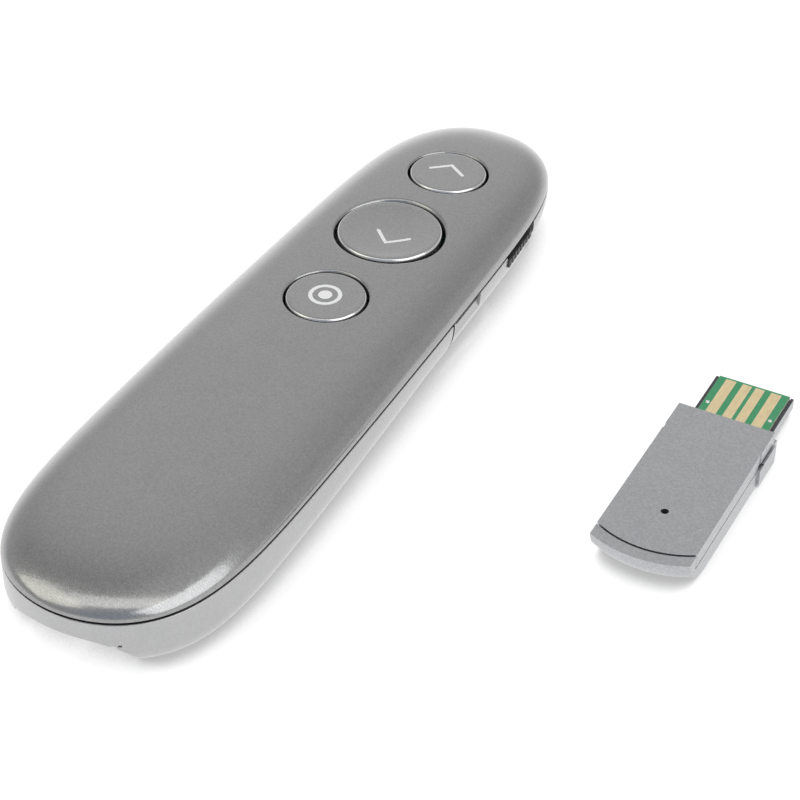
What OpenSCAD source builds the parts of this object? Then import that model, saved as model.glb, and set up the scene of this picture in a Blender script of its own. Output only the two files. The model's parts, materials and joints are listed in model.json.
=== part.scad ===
// Wireless presentation clicker with its plug-in USB receiver.
// Millimetres. +Y points to the laser nose, +X to the right, +Z up.
// The origin is the centre of the handset's flat underside.

/* [Handset body] */
// Length of the handset, tail to nose
body_len = 127; // [122:0.5:136]
// Width of the handset at mid length
mid_w = 33.9; // [33:0.1:36]
// Half width lost from mid length to the nose, and gained at the tail
taper = 1.74; // [1:0.01:2]
// Half width that both ends lose beside the taper
end_slim = 1.0; // [0.5:0.05:1.5]
// Bluntness of the nose outline
nose_pow = 8.4; // [7:0.1:10]
// Bluntness of the tail outline
tail_pow = 7.2; // [6:0.1:9]
// Height of the parting line above the underside
split_h = 9.6; // [9.3:0.1:10.5]
// Height that the parting line loses from mid length to the nose
split_fall = 0.33; // [0:0.01:0.5]
// Height that both ends of the parting line lose
split_bow = 0.2; // [0:0.01:0.4]
// Height of the dome above the parting line
dome_h = 4.9; // [4.6:0.05:6]
// Height that the dome loses towards both ends
dome_bow = 0.75; // [0.4:0.05:0.9]
// Radius of the rounded underside edge
belly_r = 6; // [5.5:0.1:6.5]
// Wall of the top shell
top_wall = 1.2; // [1:0.05:1.3]
// Side wall of the lower shells
side_wall = 1.4; // [1.2:0.05:1.5]
// Floor of the lower shells
floor_t = 1.2; // [1:0.05:1.3]
// Height of the dark groove along the parting line
groove_h = 0.3; // [0.2:0.05:0.4]
// Thickness of the outer skin in front of the groove
groove_d = 0.7; // [0.5:0.05:0.8]

/* [Buttons] */
// Distance of the up button from the nose
up_back = 18.9; // [18:0.1:20]
// Distance from the up button to the down button
down_pitch = 18.9; // [18.4:0.1:19.5]
// Distance from the down button to the laser button
laser_pitch = 19.2; // [18.4:0.1:20]
// Radius of the up and laser buttons
small_r = 5.95; // [5:0.05:6.2]
// Radius of the down button
large_r = 7.9; // [7:0.05:8.1]
// Gap around a small button
small_gap = 0.3; // [0.25:0.05:0.4]
// Gap around the large button
large_gap = 0.4; // [0.3:0.05:0.5]
// Bevel around each button hole
hole_bevel = 0.3; // [0.1:0.05:0.4]
// Bevel on the top edge of each button
cap_bevel = 0.35; // [0.2:0.05:0.45]
// Hollow of the large button's face
dish_depth = 0.25; // [0.1:0.05:0.3]
// Depth of a button cap
cap_depth = 1.95; // [1.7:0.05:2.1]
// Skin of a button cap
cap_skin = 1.1; // [0.9:0.05:1.3]
// Travel of the buttons
press_travel = 0.3; // [0.2:0.05:0.3]

/* [Power switch] */
// Distance of the power slot's centre from the nose
power_back = 23.9; // [23:0.1:25]
// Length of the slot
slot_len = 10.8; // [10:0.1:11.2]
// Height of the slot
slot_h = 1.5; // [1.3:0.05:1.6]
// Strip of shell between the groove and the slot
slot_lip = 0.5; // [0.4:0.05:0.6]
// Travel of the power knob
power_travel = 1.4; // [1:0.1:1.6]
// Clearance around the knob in its slot
knob_gap = 0.15; // [0.1:0.01:0.2]

/* [Battery compartment] */
// Diameter of the AAA cell
cell_d = 10.3; // [10:0.05:10.4]
// Length of the AAA cell
cell_len = 44.5; // [43.5:0.1:44.6]
// Sideways place of the cell
cell_x = -7.5; // [-7.7:0.05:-7.3]
// Length of the battery spring when pressed
spring_len = 1.8; // [1.6:0.1:2.2]
// Distance of the cover's side seam from mid length
seam_y = 15; // [13:0.1:17]
// Gap at the seam of the battery cover
seam_gap = 0.3; // [0.2:0.05:0.4]
// Half width of the cover's front tongue
tongue_half = 14.2; // [13.8:0.1:14.4]
// Depth of the finger recesses in front of the seam
recess_depth = 0.55; // [0.3:0.05:0.7]
// Length of the finger recesses
recess_len = 9; // [7:0.1:11]

/* [Laser] */
// Diameter of the laser module
laser_d = 5.6; // [5:0.1:5.6]
// Length of the laser module
laser_len = 12; // [10:0.5:12]
// Radius of the laser aperture
aperture_r = 1.7; // [1.3:0.05:1.8]

/* [Receiver] */
// Width of the receiver
rx_w = 14.6; // [14:0.1:14.8]
// Length of the receiver from its tail arc to the front of its base
rx_body_len = 34.8; // [34:0.1:35]
// Length from the tail arc to the tip of the plug
rx_len = 45.1; // [44:0.1:45.5]
// Height of the receiver
rx_h = 5.36; // [5.2:0.02:5.4]
// Height of its lower half
rx_base_h = 2.93; // [2.9:0.01:3]
// Radius of its tail arc in plan
rx_arc_r = 14.3; // [13:0.1:16]
// Width of the tail rim
rx_rim = 2; // [1.5:0.1:2.2]
// Step in front of the upper half
rx_step = 0.45; // [0.2:0.05:0.6]
// Width of the plug
plug_w = 12.1; // [12:0.05:12.2]
// Thickness of the plug
plug_t = 1.92; // [1.9:0.02:2]
// How far the upper half stops short of the base's front
rx_setback = 1.4; // [1:0.1:1.8]
// How far the side lugs stand out
lug_out = 0.35; // [0.2:0.05:0.4]
// Receiver centre, to the right of the handset's axis
rx_x = 58.4; // [50:0.1:70]
// Receiver centre, ahead of mid length
rx_y = 8.2; // [-20:0.1:20]
// Turn of the receiver on the table, in degrees
rx_turn = 1.25; // [-20:0.05:20]

/* [Hidden] */
$fn = 64;

// Clearances, and how far a cut runs past the face that it opens
fit_gap = 0.1;
seat_gap = 0.05;
board_gap = 0.3;
frame_gap = 0.4;
over = 1;

// Outline of the handset, and what is placed from its ends
half_len = body_len / 2;
tail_y = -half_len;
up_y = half_len - up_back;
down_y = up_y - down_pitch;
laser_y = down_y - laser_pitch;
power_y = half_len - power_back;
side_pow = 2.71;
top_pow = 1.97;
crest_pow = 6.1;
side_end = 0.8;
side_n = 6;
tip_n = 9;
rim_n = side_n + tip_n;
dome_n = 12;
dome_in_n = 7;
belly_n = 6;

function end_pow(u) = u > 0 ? nose_pow : tail_pow;
function base_half(u) = mid_w / 2 - taper * u - end_slim * u * u;
function half_w(y) = let (u = y / half_len)
    base_half(u) * sqrt(max(0, 1 - pow(abs(u), end_pow(u))));
function split_z(y) = let (u = y / half_len) split_h - split_fall * u - split_bow * u * u;
function crest(y) = let (u = y / half_len)
    (dome_h - dome_bow * u * u) * sqrt(max(0, 1 - pow(abs(u), crest_pow)));
function dome_share(x, y) = let (r = min(1, abs(x) / max(half_w(y), 0.001)))
    pow(max(0, 1 - pow(r, side_pow)), 1 / top_pow);
function dome_z(x, y) = split_z(y) + crest(y) * dome_share(x, y);

// Even steps along the side, then steps round the tip, from 0 at mid length to 1 at the end
function tip_start(p) = asin(pow(side_end, p / 2));
function rim_u(k, p) = k <= side_n ? side_end * k / side_n
    : pow(sin(tip_start(p) + (90 - tip_start(p)) * (k - side_n) / tip_n), 2 / p);
rim_ys = concat([for (k = [rim_n:-1:1]) -half_len * rim_u(k, tail_pow)],
    [for (k = [0:rim_n]) half_len * rim_u(k, nose_pow)]);
outline = concat([for (y = rim_ys) [half_w(y), y]],
    [for (i = [2 * rim_n - 1:-1:1]) [-half_w(rim_ys[i]), rim_ys[i]]]);

function inset(p, d) = [p.x * (1 - 2 * d / mid_w), p.y * (1 - d / half_len)];
function flat_ring(d, z) = [for (p = outline) let (q = inset(p, d)) [q.x, q.y, z]];
function split_ring(d, dz) = [for (p = outline) let (q = inset(p, d)) [q.x, q.y, split_z(p.y) + dz]];
function dome_ring(s) = [for (p = outline) [s * p.x, s * p.y, dome_z(s * p.x, s * p.y)]];
function dome_in_ring(s) = [for (p = outline)
    let (q = inset(p, top_wall) * s, z0 = split_z(s * p.y))
    [q.x, q.y, z0 + (dome_z(s * p.x, s * p.y) - z0) * (1 - top_wall / dome_h)]];

// Button seats: place, height and slope of the dome there
function key_tilt(y, r) = atan((dome_z(0, y + r) - dome_z(0, y - r)) / (2 * r));
function key_top(y) = dome_z(0, y);

// Levels inside the handset
plate_z = 7;
plate_t = 1;
board_z = plate_z + plate_t;
board_t = 1;
board_top = board_z + board_t;
plate_inset = side_wall + 1.2;
frame_low = floor_t + 0.5;

// How far the tub's rounded inside stands in from the outline at height z
function tub_inset(z) = side_wall + (belly_r - side_wall)
    * (1 - sin(acos(max(0, 1 - (z - floor_t) / (belly_r - floor_t)))));

// Receiver, in its own frame: +y to the plug tip, centred on its length
rx_tail = -rx_len / 2 + 0.2;
rx_tip = rx_tail + rx_len;
rx_front = rx_tail + rx_body_len;
rx_arc_y = rx_tail + rx_arc_r;
rx_skin = 0.8;
rx_in = rx_w / 2 - rx_skin;
rx_gap = 0.02;
rx_belly_end = rx_tail + 10.4;
rx_cover_arc = rx_arc_r - rx_rim - 0.2;
rx_cover_front = rx_front - rx_setback;
rx_step_y = rx_cover_front - 5.5;
rx_rim_h = rx_h - 0.36;
rx_cave_y = rx_tail + 6.9;
lug_y = rx_front - 7.5;
lug_h = 2.3;
plug_z = 0.9;
plug_floor = 1.1;
plug_side = 0.5;
plug_back = rx_front - 3.9;
rx_board_t = 0.8;
rx_board_top = plug_z + plug_t;
rx_board_z = rx_board_top - rx_board_t;
rx_board_half = plug_w / 2 - plug_side - fit_gap;
rx_board_y = rx_tail + 7.4;
tray_lip = 0.25;
ledge_in = 0.8;
ledge_gap = 0.5;
pad_t = 0.05;
pad_pitch = [-3.5, -1, 1, 3.5];
pad_half = [0.8, 0.72, 0.72, 0.8];
pad_under = 2;
pad_setback = 0.5;
via_x = 4.8;
via_y = rx_tip - 6.6;
via_r = 0.3;
led_y = rx_tail + 10.7;
led_hole_r = 0.55;
led_size = [1.6, 0.8, 0.6];
rx_chip_size = [4, 4, 0.85];
rx_chip_y = rx_tail + 18;
crystal_size = [3.2, 2.5, 0.7];
rx_crystal_y = rx_tail + 23.75;

// Receiver bay in the tail, and the cell behind its front wall
bay_gap = 0.25;
bay_half = rx_w / 2 + lug_out + bay_gap;
bay_h = rx_h + bay_gap;
bay_roof = bay_h + 0.2;
bay_end = tail_y + rx_len + 0.6;
rail_x = bay_half + bay_gap;
rail_t = 1;
frame_wall = 1.2;
contact_t = 0.4;
contact_half = 4;
box_rear = bay_end + frame_wall;
cell_rear = box_rear + contact_t + spring_len;
cell_front = cell_rear + cell_len;
box_front = cell_front + seat_gap + contact_t;
tongue_y = box_front + frame_wall + 1.5;
tongue_r = 5;
cell_r = cell_d / 2;
cell_z = floor_t + fit_gap + cell_r;
nub_len = 0.9;
nub_r = 1.9;
cell_gap = 0.15;
box_left = cell_x - cell_r - cell_gap;
box_right = cell_x + cell_r + cell_gap;
box_wall = 0.9;
box_side = 0.8;
box_side_low = 4;
box_top = board_top + 2.2;
box_end_x = cell_x - contact_half;

// Power knob, in the frame of the right wall
power_turn = -atan((half_w(power_y + 5) - half_w(power_y - 5)) / 10);
slot_top = split_z(power_y) - groove_h - slot_lip;
slot_mid = slot_top - slot_h / 2;
knob_len = slot_len - power_travel - 2 * knob_gap;
knob_h = slot_h - 2 * knob_gap;
knob_rest = -power_travel / 2;
knob_proud = 0.15;
rib_n = 8;
rib_half = 0.16;
rib_depth = 0.25;
flange_t = 0.7;
flange_x = -side_wall - board_gap - 0.1 - flange_t;
flange_len = slot_len + power_travel + 0.4;
flange_over = 0.5;
lever_w = 1.5;
lever_len = 1.9;
lever_h = 1.1;
lever_z = board_z - 1.4;
switch_w = 3.6;
switch_len = 8.6;
switch_h = 2.6;
switch_x = flange_x - lever_len / 2 - switch_w;

// Button switches
tact_w = 3.6;
tact_h = 1.7;
plunger_r = 0.95;
plunger_gap = 0.15;
plunger_z = board_top + 1.1;
plunger_top = plunger_z + 1.1;
cap_wall = 1;
nub_gap = 0.12;
key_nub_r = 1.3;
tab_w = 3;
tab_t = 0.5;
tab_out = 0.75;
tab_high = 0.15;

// Chips on the main board, right of the cell
chip_x = 8;
radio_size = [4, 4, 0.85];
radio_y = down_y - 5.7;
crystal_y = down_y - 11.25;
control_size = [4, 5, 1.4];
control_y = laser_y - 4.5;
coil_x = 5;
coil_y = laser_y - 14.5;
coil_r = 2.2;
coil_h = 1.9;

// Laser
laser_z = floor_t + fit_gap + laser_d / 2;
laser_back = half_len - 19;
laser_front = laser_back + laser_len;
laser_nose = half_len - 3.6;
nose_r = 1.8;
lens_r = 1.3;
lens_t = 1.2;
lens_gap = 0.03;
lens_seat = laser_nose - 2;
window_t = 0.8;
window_y = half_len - 2.3;
cradle_side = 0.6;
cradle_t = 1.2;
cradle_ys = [laser_back + 2, laser_front - 3];

// Screws: the nose pair first, then the tail pair
screw_x = [9, 12];
screw_y = [half_len - 13.5, tail_y + 15.5];
screw_r = 0.95;
head_r = 1.9;
head_h = 1.4;
head_gap = 0.15;
drive_reach = 1.1;
drive_half = 0.22;
drive_depth = 0.6;
hole_r = 1.1;
boss_r = 2.2;
boss_skin = 0.2;
boss_end = 0.3;
head_z = [1, plate_z - head_h];
boss_low = [board_top, board_z];
function boss_top(i) = dome_z(screw_x[i] + boss_r, screw_y[i]) - boss_skin;
function screw_tip(i) = boss_top(i) - boss_end - fit_gap;

// ---------- helpers ----------

// Closed loft through rings of equal length, with a point at each end
module loft(rings, first, last) {
    n = len(outline);
    m = len(rings);
    points = concat([first], [for (r = rings) each r], [last]);
    faces = concat(
        [for (i = [0:n - 1]) [0, 1 + i, 1 + (i + 1) % n]],
        [for (k = [0:m - 2], i = [0:n - 1]) let (a = 1 + k * n, b = a + n, j = (i + 1) % n)
            [a + i, b + i, b + j]],
        [for (k = [0:m - 2], i = [0:n - 1]) let (a = 1 + k * n, b = a + n, j = (i + 1) % n)
            [a + i, b + j, a + j]],
        [for (i = [0:n - 1]) let (a = 1 + (m - 1) * n) [1 + m * n, a + (i + 1) % n, a + i]]);
    polyhedron(points, faces, convexity = 6);
}

// Box from its low corner to its high corner
module span(low, high) {
    translate(low) cube(high - low);
}

// Both the piece and its mirror image across the handset's axis
module both_sides() {
    children();
    mirror([1, 0, 0]) children();
}

// Flat slab with the handset's outline, set in by d
module slab(d, low, high) {
    translate([0, 0, low]) linear_extrude(high - low) polygon([for (p = outline) inset(p, d)]);
}

// Small part of a given size, standing on a board
module chip(size, x, y, z) {
    span([x - size.x / 2, y - size.y / 2, z], [x + size.x / 2, y + size.y / 2, z + size.z]);
}

// Upright cylinder at both screws of pair i
module screw_post(i, r, low, high) {
    both_sides() translate([screw_x[i], screw_y[i], low]) cylinder(r = r, h = high - low);
}

// Frame at the centre of a button's face, tilted with the dome
module at_key(y, r) {
    translate([0, y, key_top(y)]) rotate([key_tilt(y, r), 0, 0]) children();
}

// Frame on the right wall at the power slot, y along the wall
module at_power() {
    translate([half_w(power_y), power_y, 0]) rotate([0, 0, power_turn]) children();
}

// Frame of the receiver where it lies
module at_receiver() {
    translate([rx_x, rx_y, 0]) rotate([0, 0, rx_turn]) children();
}

// Whole lower shell before it is split into front and rear
module lower_tub() {
    outer = [for (k = [0:belly_n]) let (a = 90 * k / belly_n)
        flat_ring(belly_r * (1 - sin(a)), belly_r * (1 - cos(a)))];
    inner = [for (k = [belly_n:-1:0]) let (a = 90 * k / belly_n)
        flat_ring(side_wall + (belly_r - side_wall) * (1 - sin(a)),
            floor_t + (belly_r - floor_t) * (1 - cos(a)))];
    rings = concat(outer,
        [split_ring(0, -groove_h), split_ring(groove_d, -groove_h),
            split_ring(groove_d, -fit_gap), split_ring(side_wall, -fit_gap)],
        inner);
    loft(rings, [0, 0, 0], [0, 0, floor_t]);
}

// Plan of the battery cover, grown by g; its front tongue has round corners
module cover_plan(g) {
    reach = body_len;
    r = tongue_r + g;
    half = tongue_half + g;
    front = tongue_y + g;
    translate([-reach, -reach]) square([2 * reach, reach + seam_y + g]);
    translate([-half, seam_y]) square([2 * half, front - r - seam_y]);
    translate([-half + r, seam_y]) square([2 * (half - r), front - seam_y]);
    for (side = [-1, 1]) translate([side * (half - r), front - r]) circle(r);
}

module cover_region(g) {
    translate([0, 0, -over]) linear_extrude(split_h + 3 * over) cover_plan(g);
}

// ---------- handset shells ----------

module key_hole(y, r, gap) {
    hole = r + gap;
    at_key(y, r) {
        translate([0, 0, -2 * top_wall - over]) cylinder(r = hole, h = 4 * top_wall + over);
        translate([0, 0, -hole_bevel])
            cylinder(r1 = hole, r2 = hole + hole_bevel + over, h = hole_bevel + over);
    }
}

module top_shell() {
    color([0.52, 0.53, 0.54]) difference() {
        union() {
            loft(concat([for (k = [1:dome_in_n]) dome_in_ring(sin(90 * k / dome_in_n))],
                [for (k = [dome_n:-1:1]) dome_ring(sin(90 * k / dome_n))]),
                [0, 0, split_z(0) + crest(0) * (1 - top_wall / dome_h)], [0, 0, dome_z(0, 0)]);
            for (i = [0, 1]) screw_post(i, boss_r, boss_low[i], boss_top(i));
        }
        key_hole(up_y, small_r, small_gap);
        key_hole(down_y, large_r, large_gap);
        key_hole(laser_y, small_r, small_gap);
        for (i = [0, 1]) screw_post(i, screw_r + seat_gap, boss_low[i] - over, boss_top(i) - boss_end);
    }
}

// Scoop just under the parting line, in front of the seam
module finger_recess() {
    y = seam_y + seam_gap + recess_len / 2;
    turn = -atan((half_w(y + recess_len / 2) - half_w(y - recess_len / 2)) / recess_len);
    scoop_r = 4;
    scoop_drop = 0.9;
    translate([half_w(y), y, split_z(y) - groove_h - scoop_drop]) rotate([0, 0, turn])
        translate([scoop_r - recess_depth, recess_len / 2, 0]) rotate([90, 0, 0])
            cylinder(r = scoop_r, h = recess_len);
}

module bottom_shell() {
    color([0.76, 0.76, 0.75]) difference() {
        union() {
            difference() {
                lower_tub();
                cover_region(seam_gap);
            }
            screw_post(0, boss_r, floor_t / 2, plate_z);
            for (y = cradle_ys)
                span([-laser_d / 2 - cradle_side, y, floor_t / 2],
                    [laser_d / 2 + cradle_side, y + cradle_t, laser_z]);
        }
        screw_post(0, hole_r, -over, plate_z + over);
        screw_post(0, head_r + head_gap, -over, head_z[0] + head_h);
        translate([0, laser_back - over, laser_z]) rotate([-90, 0, 0])
            cylinder(r = laser_d / 2 + seat_gap, h = laser_len + 2 * over);
        translate([0, laser_nose, laser_z]) rotate([-90, 0, 0])
            cylinder(r = aperture_r, h = half_len - laser_nose + over);
        at_power() span([-side_wall - over, -slot_len / 2, slot_top - slot_h],
            [over, slot_len / 2, slot_top]);
        both_sides() finger_recess();
    }
}

module battery_cover() {
    color([0.76, 0.76, 0.75]) difference() {
        intersection() {
            lower_tub();
            cover_region(0);
        }
        span([-bay_half, tail_y - over, -over], [bay_half, bay_end, bay_h]);
    }
}

// Inner frame: plate under the board, cell box and roof of the receiver bay
module mid_frame() {
    box_end = box_front + frame_wall;
    rail_out = rail_x + rail_t;
    room = flange_len / 2 + power_travel / 2 + board_gap;
    color([0.16, 0.16, 0.17]) difference() {
        union() {
            slab(plate_inset, plate_z, board_z);
            intersection() {
                slab(plate_inset, bay_roof, board_z);
                span([-rail_out, tail_y, bay_roof], [rail_out, box_rear, board_z]);
            }
            intersection() {
                slab(tub_inset(frame_low) + frame_gap, frame_low, board_z);
                both_sides() span([rail_x, tail_y, frame_low], [rail_out, box_rear, board_z]);
            }
            span([box_end_x, bay_end, frame_low], [box_right, box_rear, box_top]);
            span([box_end_x, box_front, frame_low], [box_right, box_end, box_top]);
            span([box_right, bay_end, frame_low], [box_right + box_wall, box_end, board_z]);
            span([box_left - box_side, bay_end, box_side_low], [box_left, box_end, board_z]);
        }
        span([box_left, box_rear, 0], [box_right, box_front, box_top + over]);
        for (i = [0, 1]) screw_post(i, hole_r, 0, board_top);
        at_power() span([switch_x - board_gap, -room, plate_z - over], [over, room, board_z + over]);
    }
}

// ---------- electronics ----------

// Board with a field ahead of the cell box and an arm beside it
module main_board() {
    edge = half_w(power_y) + switch_x + switch_w - board_gap;
    left = box_right + board_gap;
    front = half_len - 6.5;
    rear = box_rear + 2;
    step_y = box_front + frame_wall + board_gap;
    color([0.1, 0.35, 0.2]) difference() {
        intersection() {
            slab(plate_inset + board_gap, board_z, board_top);
            union() {
                span([left, rear, board_z - over], [edge, front, board_top + over]);
                span([-edge, step_y, board_z - over], [edge, front, board_top + over]);
            }
        }
        screw_post(0, hole_r, board_z - over, board_top + over);
    }
}

// Low push switch with a bore for its plunger
module tact_switch(y) {
    color([0.75, 0.75, 0.77]) difference() {
        chip([tact_w, tact_w, tact_h], 0, y, board_top);
        translate([0, y, plunger_z - press_travel - fit_gap])
            cylinder(r = plunger_r + plunger_gap, h = tact_h + over);
    }
}

module plunger(y) {
    color([0.1, 0.1, 0.1]) translate([0, y, plunger_z])
        cylinder(r = plunger_r, h = plunger_top - plunger_z);
}

// Button cap with a bevelled edge, a hollow back, retaining tabs and a nub for its switch
module key_cap(y, r, dish) {
    dish_edge = r - cap_bevel;
    nub_end = key_top(y) - plunger_top - nub_gap;
    color([0.62, 0.63, 0.64]) at_key(y, r) difference() {
        union() {
            difference() {
                union() {
                    translate([0, 0, -cap_depth]) cylinder(r = r, h = cap_depth - cap_bevel);
                    translate([0, 0, -cap_bevel]) cylinder(r1 = r, r2 = dish_edge, h = cap_bevel);
                }
                translate([0, 0, -cap_depth - over])
                    cylinder(r = r - cap_wall, h = cap_depth - cap_skin + over);
            }
            translate([0, 0, -nub_end]) cylinder(r = key_nub_r, h = nub_end - cap_skin / 2);
            for (a = [-90, 0, 90]) rotate([0, 0, a])
                span([r - cap_wall, -tab_w / 2, -cap_depth - tab_t + tab_high],
                    [r + tab_out, tab_w / 2, -cap_depth + tab_high]);
        }
        if (dish > 0) {
            ball = (dish_edge * dish_edge + dish * dish) / (2 * dish);
            translate([0, 0, ball - dish]) sphere(r = ball, $fn = 180);
        }
    }
}

module radio_chip() {
    color([0.08, 0.08, 0.08]) chip(radio_size, chip_x, radio_y, board_top);
}

module crystal() {
    color([0.8, 0.8, 0.78]) chip(crystal_size, chip_x, crystal_y, board_top);
}

module control_chip() {
    color([0.08, 0.08, 0.08]) chip(control_size, chip_x, control_y, board_top);
}

module boost_coil() {
    color([0.2, 0.2, 0.2]) translate([coil_x, coil_y, board_top]) cylinder(r = coil_r, h = coil_h);
}

// ---------- power switch ----------

// Ribbed knob in the slot, with the flange behind the wall that keeps it in
module power_knob() {
    pitch = knob_len / rib_n;
    color([0.2, 0.2, 0.21]) at_power() translate([0, knob_rest, slot_mid]) {
        difference() {
            span([flange_x + flange_t / 2, -knob_len / 2, -knob_h / 2],
                [knob_proud, knob_len / 2, knob_h / 2]);
            for (k = [1:rib_n - 1]) translate([0, k * pitch - knob_len / 2, 0])
                span([knob_proud - rib_depth, -rib_half, -knob_h / 2 - over],
                    [knob_proud + over, rib_half, knob_h / 2 + over]);
        }
        span([flange_x, -flange_len / 2, -knob_h / 2 - flange_over],
            [flange_x + flange_t, flange_len / 2, knob_h / 2 + flange_over]);
    }
}

module power_lever() {
    color([0.1, 0.1, 0.1]) at_power() translate([0, knob_rest, lever_z])
        span([flange_x - lever_len, -lever_w / 2, -lever_h / 2], [flange_x, lever_w / 2, lever_h / 2]);
}

module power_switch() {
    room = fit_gap + power_travel / 2;
    color([0.7, 0.7, 0.72]) at_power() difference() {
        span([switch_x, -switch_len / 2, board_z - switch_h],
            [switch_x + switch_w, switch_len / 2, board_z]);
        translate([0, 0, lever_z])
            span([flange_x - lever_len - fit_gap, -lever_w / 2 - room, -lever_h / 2 - fit_gap],
                [switch_x + switch_w + over, lever_w / 2 + room, lever_h / 2 + fit_gap]);
    }
}

// ---------- laser ----------

module laser_barrel() {
    color([0.78, 0.62, 0.28]) translate([0, 0, laser_z]) rotate([-90, 0, 0]) difference() {
        union() {
            translate([0, 0, laser_back]) cylinder(r = laser_d / 2, h = laser_len);
            translate([0, 0, laser_front - over]) cylinder(r = nose_r, h = laser_nose - laser_front + over);
        }
        translate([0, 0, lens_seat]) cylinder(r = lens_r, h = laser_nose - lens_seat + over);
    }
}

module laser_lens() {
    color([0.85, 0.9, 1]) translate([0, lens_seat, laser_z]) rotate([-90, 0, 0])
        cylinder(r = lens_r - lens_gap, h = lens_t);
}

module laser_window() {
    color([0.3, 0.05, 0.05]) translate([0, window_y, laser_z]) rotate([-90, 0, 0])
        cylinder(r = aperture_r - lens_gap, h = window_t);
}

// ---------- battery ----------

module battery_cell() {
    color([0.2, 0.25, 0.3]) translate([cell_x, cell_rear, cell_z]) rotate([-90, 0, 0]) {
        cylinder(r = cell_r, h = cell_len - nub_len);
        cylinder(r = nub_r, h = cell_len);
    }
}

// Conical coil swept along a helix between the plate and the cell's flat end
module battery_spring() {
    wire_r = 0.22;
    turns = 3;
    steps = 24;
    sides = 8;
    n = turns * steps;
    wide_r = 3.4;
    narrow_r = 1.8;
    rise = spring_len - 2 * wire_r - 0.05;
    function coil_pt(i, j) = let (
        t = i / n, a = 360 * turns * t, b = 360 * j / sides,
        r = wide_r + (narrow_r - wide_r) * t + wire_r * cos(b))
        [r * cos(a), r * sin(a), wire_r + rise * t + wire_r * sin(b)];
    points = [for (i = [0:n], j = [0:sides - 1]) coil_pt(i, j)];
    walls = [for (i = [0:n - 1], j = [0:sides - 1]) let (a = i * sides, b = a + sides, k = (j + 1) % sides)
        each [[a + j, b + j, b + k], [a + j, b + k, a + k]]];
    ends = [[for (j = [0:sides - 1]) j], [for (j = [sides - 1:-1:0]) n * sides + j]];
    color([0.85, 0.85, 0.85]) translate([cell_x, box_rear + contact_t, cell_z]) rotate([-90, 0, 0])
        polyhedron(points, concat(walls, ends), convexity = 6);
}

// Square contact plate whose rear face is at y
module contact_plate(y) {
    color([0.8, 0.78, 0.7]) span([cell_x - contact_half, y, cell_z - contact_half],
        [cell_x + contact_half, y + contact_t, cell_z + contact_half]);
}

// Two screws from below through the nose, two through the frame at the tail
module case_screws() {
    color([0.6, 0.6, 0.62]) for (i = [0, 1]) difference() {
        union() {
            screw_post(i, head_r, head_z[i], head_z[i] + head_h);
            screw_post(i, screw_r, head_z[i], screw_tip(i));
        }
        both_sides() translate([screw_x[i], screw_y[i], head_z[i]]) for (a = [0, 90]) rotate([0, 0, a])
            span([-drive_reach, -drive_half, -over], [drive_reach, drive_half, drive_depth]);
    }
}

// ---------- receiver ----------

// Plan disc of the tail with the same rounded underside edge as the handset
module rx_tail_round() {
    steps = 10;
    translate([0, rx_arc_y, 0]) rotate_extrude($fn = 128) polygon(concat(
        [[0, 0]],
        [for (k = [0:steps]) let (a = 90 * k / steps)
            [rx_arc_r - belly_r * (1 - sin(a)), belly_r * (1 - cos(a))]],
        [[rx_arc_r, belly_r + over], [0, belly_r + over]]));
}

module receiver_base() {
    half = rx_w / 2;
    color([0.62, 0.62, 0.63]) at_receiver() difference() {
        union() {
            intersection() {
                rx_tail_round();
                span([-half, rx_tail - over, 0], [half, rx_belly_end, rx_rim_h]);
            }
            span([-half, rx_belly_end, 0], [half, rx_front, rx_base_h]);
            span([-half - lug_out, lug_y, 0], [half + lug_out, rx_front, lug_h]);
        }
        translate([0, rx_arc_y, rx_base_h]) cylinder(r = rx_arc_r - rx_rim, h = rx_h, $fn = 128);
        span([-half - over, lug_y, lug_h], [half + over, rx_front + over, rx_h]);
        difference() {
            span([-rx_in, rx_cave_y, rx_skin], [rx_in, rx_front - rx_skin, rx_h]);
            both_sides() span([rx_board_half - ledge_in, rx_cave_y - over, 0],
                [rx_board_half - fit_gap, plug_back - ledge_gap, rx_board_z]);
        }
        span([-plug_w / 2 - fit_gap, plug_back, plug_z - seat_gap],
            [plug_w / 2 + fit_gap, rx_front + over, rx_h]);
    }
}

module receiver_cover() {
    half = rx_w / 2;
    low = rx_base_h + rx_gap;
    cave_y = rx_cave_y - 1.5;
    color([0.62, 0.62, 0.63]) at_receiver() difference() {
        union() {
            span([-half, rx_arc_y, low], [half, rx_cover_front, rx_h]);
            intersection() {
                translate([0, rx_arc_y, low]) cylinder(r = rx_cover_arc, h = rx_h - low, $fn = 128);
                span([-half, rx_tail, low], [half, rx_arc_y + over, rx_h]);
            }
        }
        span([-half - over, rx_step_y, rx_h - rx_step], [half + over, rx_front, rx_h + over]);
        span([-rx_in, cave_y, low - over],
            [rx_in, rx_cover_front - rx_skin, rx_h - rx_skin - rx_step]);
        translate([0, led_y, low]) cylinder(r = led_hole_r, h = rx_h);
    }
}

module receiver_board() {
    color([0.1, 0.5, 0.3]) at_receiver() difference() {
        span([-rx_board_half, rx_board_y, rx_board_z],
            [rx_board_half, rx_tip - tray_lip - fit_gap, rx_board_top]);
        both_sides() translate([via_x, via_y, 0]) cylinder(r = via_r, h = rx_h);
    }
}

module receiver_pads() {
    color([0.92, 0.8, 0.5]) at_receiver() for (i = [0:len(pad_pitch) - 1])
        span([pad_pitch[i] - pad_half[i], rx_front - pad_under, rx_board_top],
            [pad_pitch[i] + pad_half[i], rx_tip - pad_setback, rx_board_top + pad_t]);
}

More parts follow.
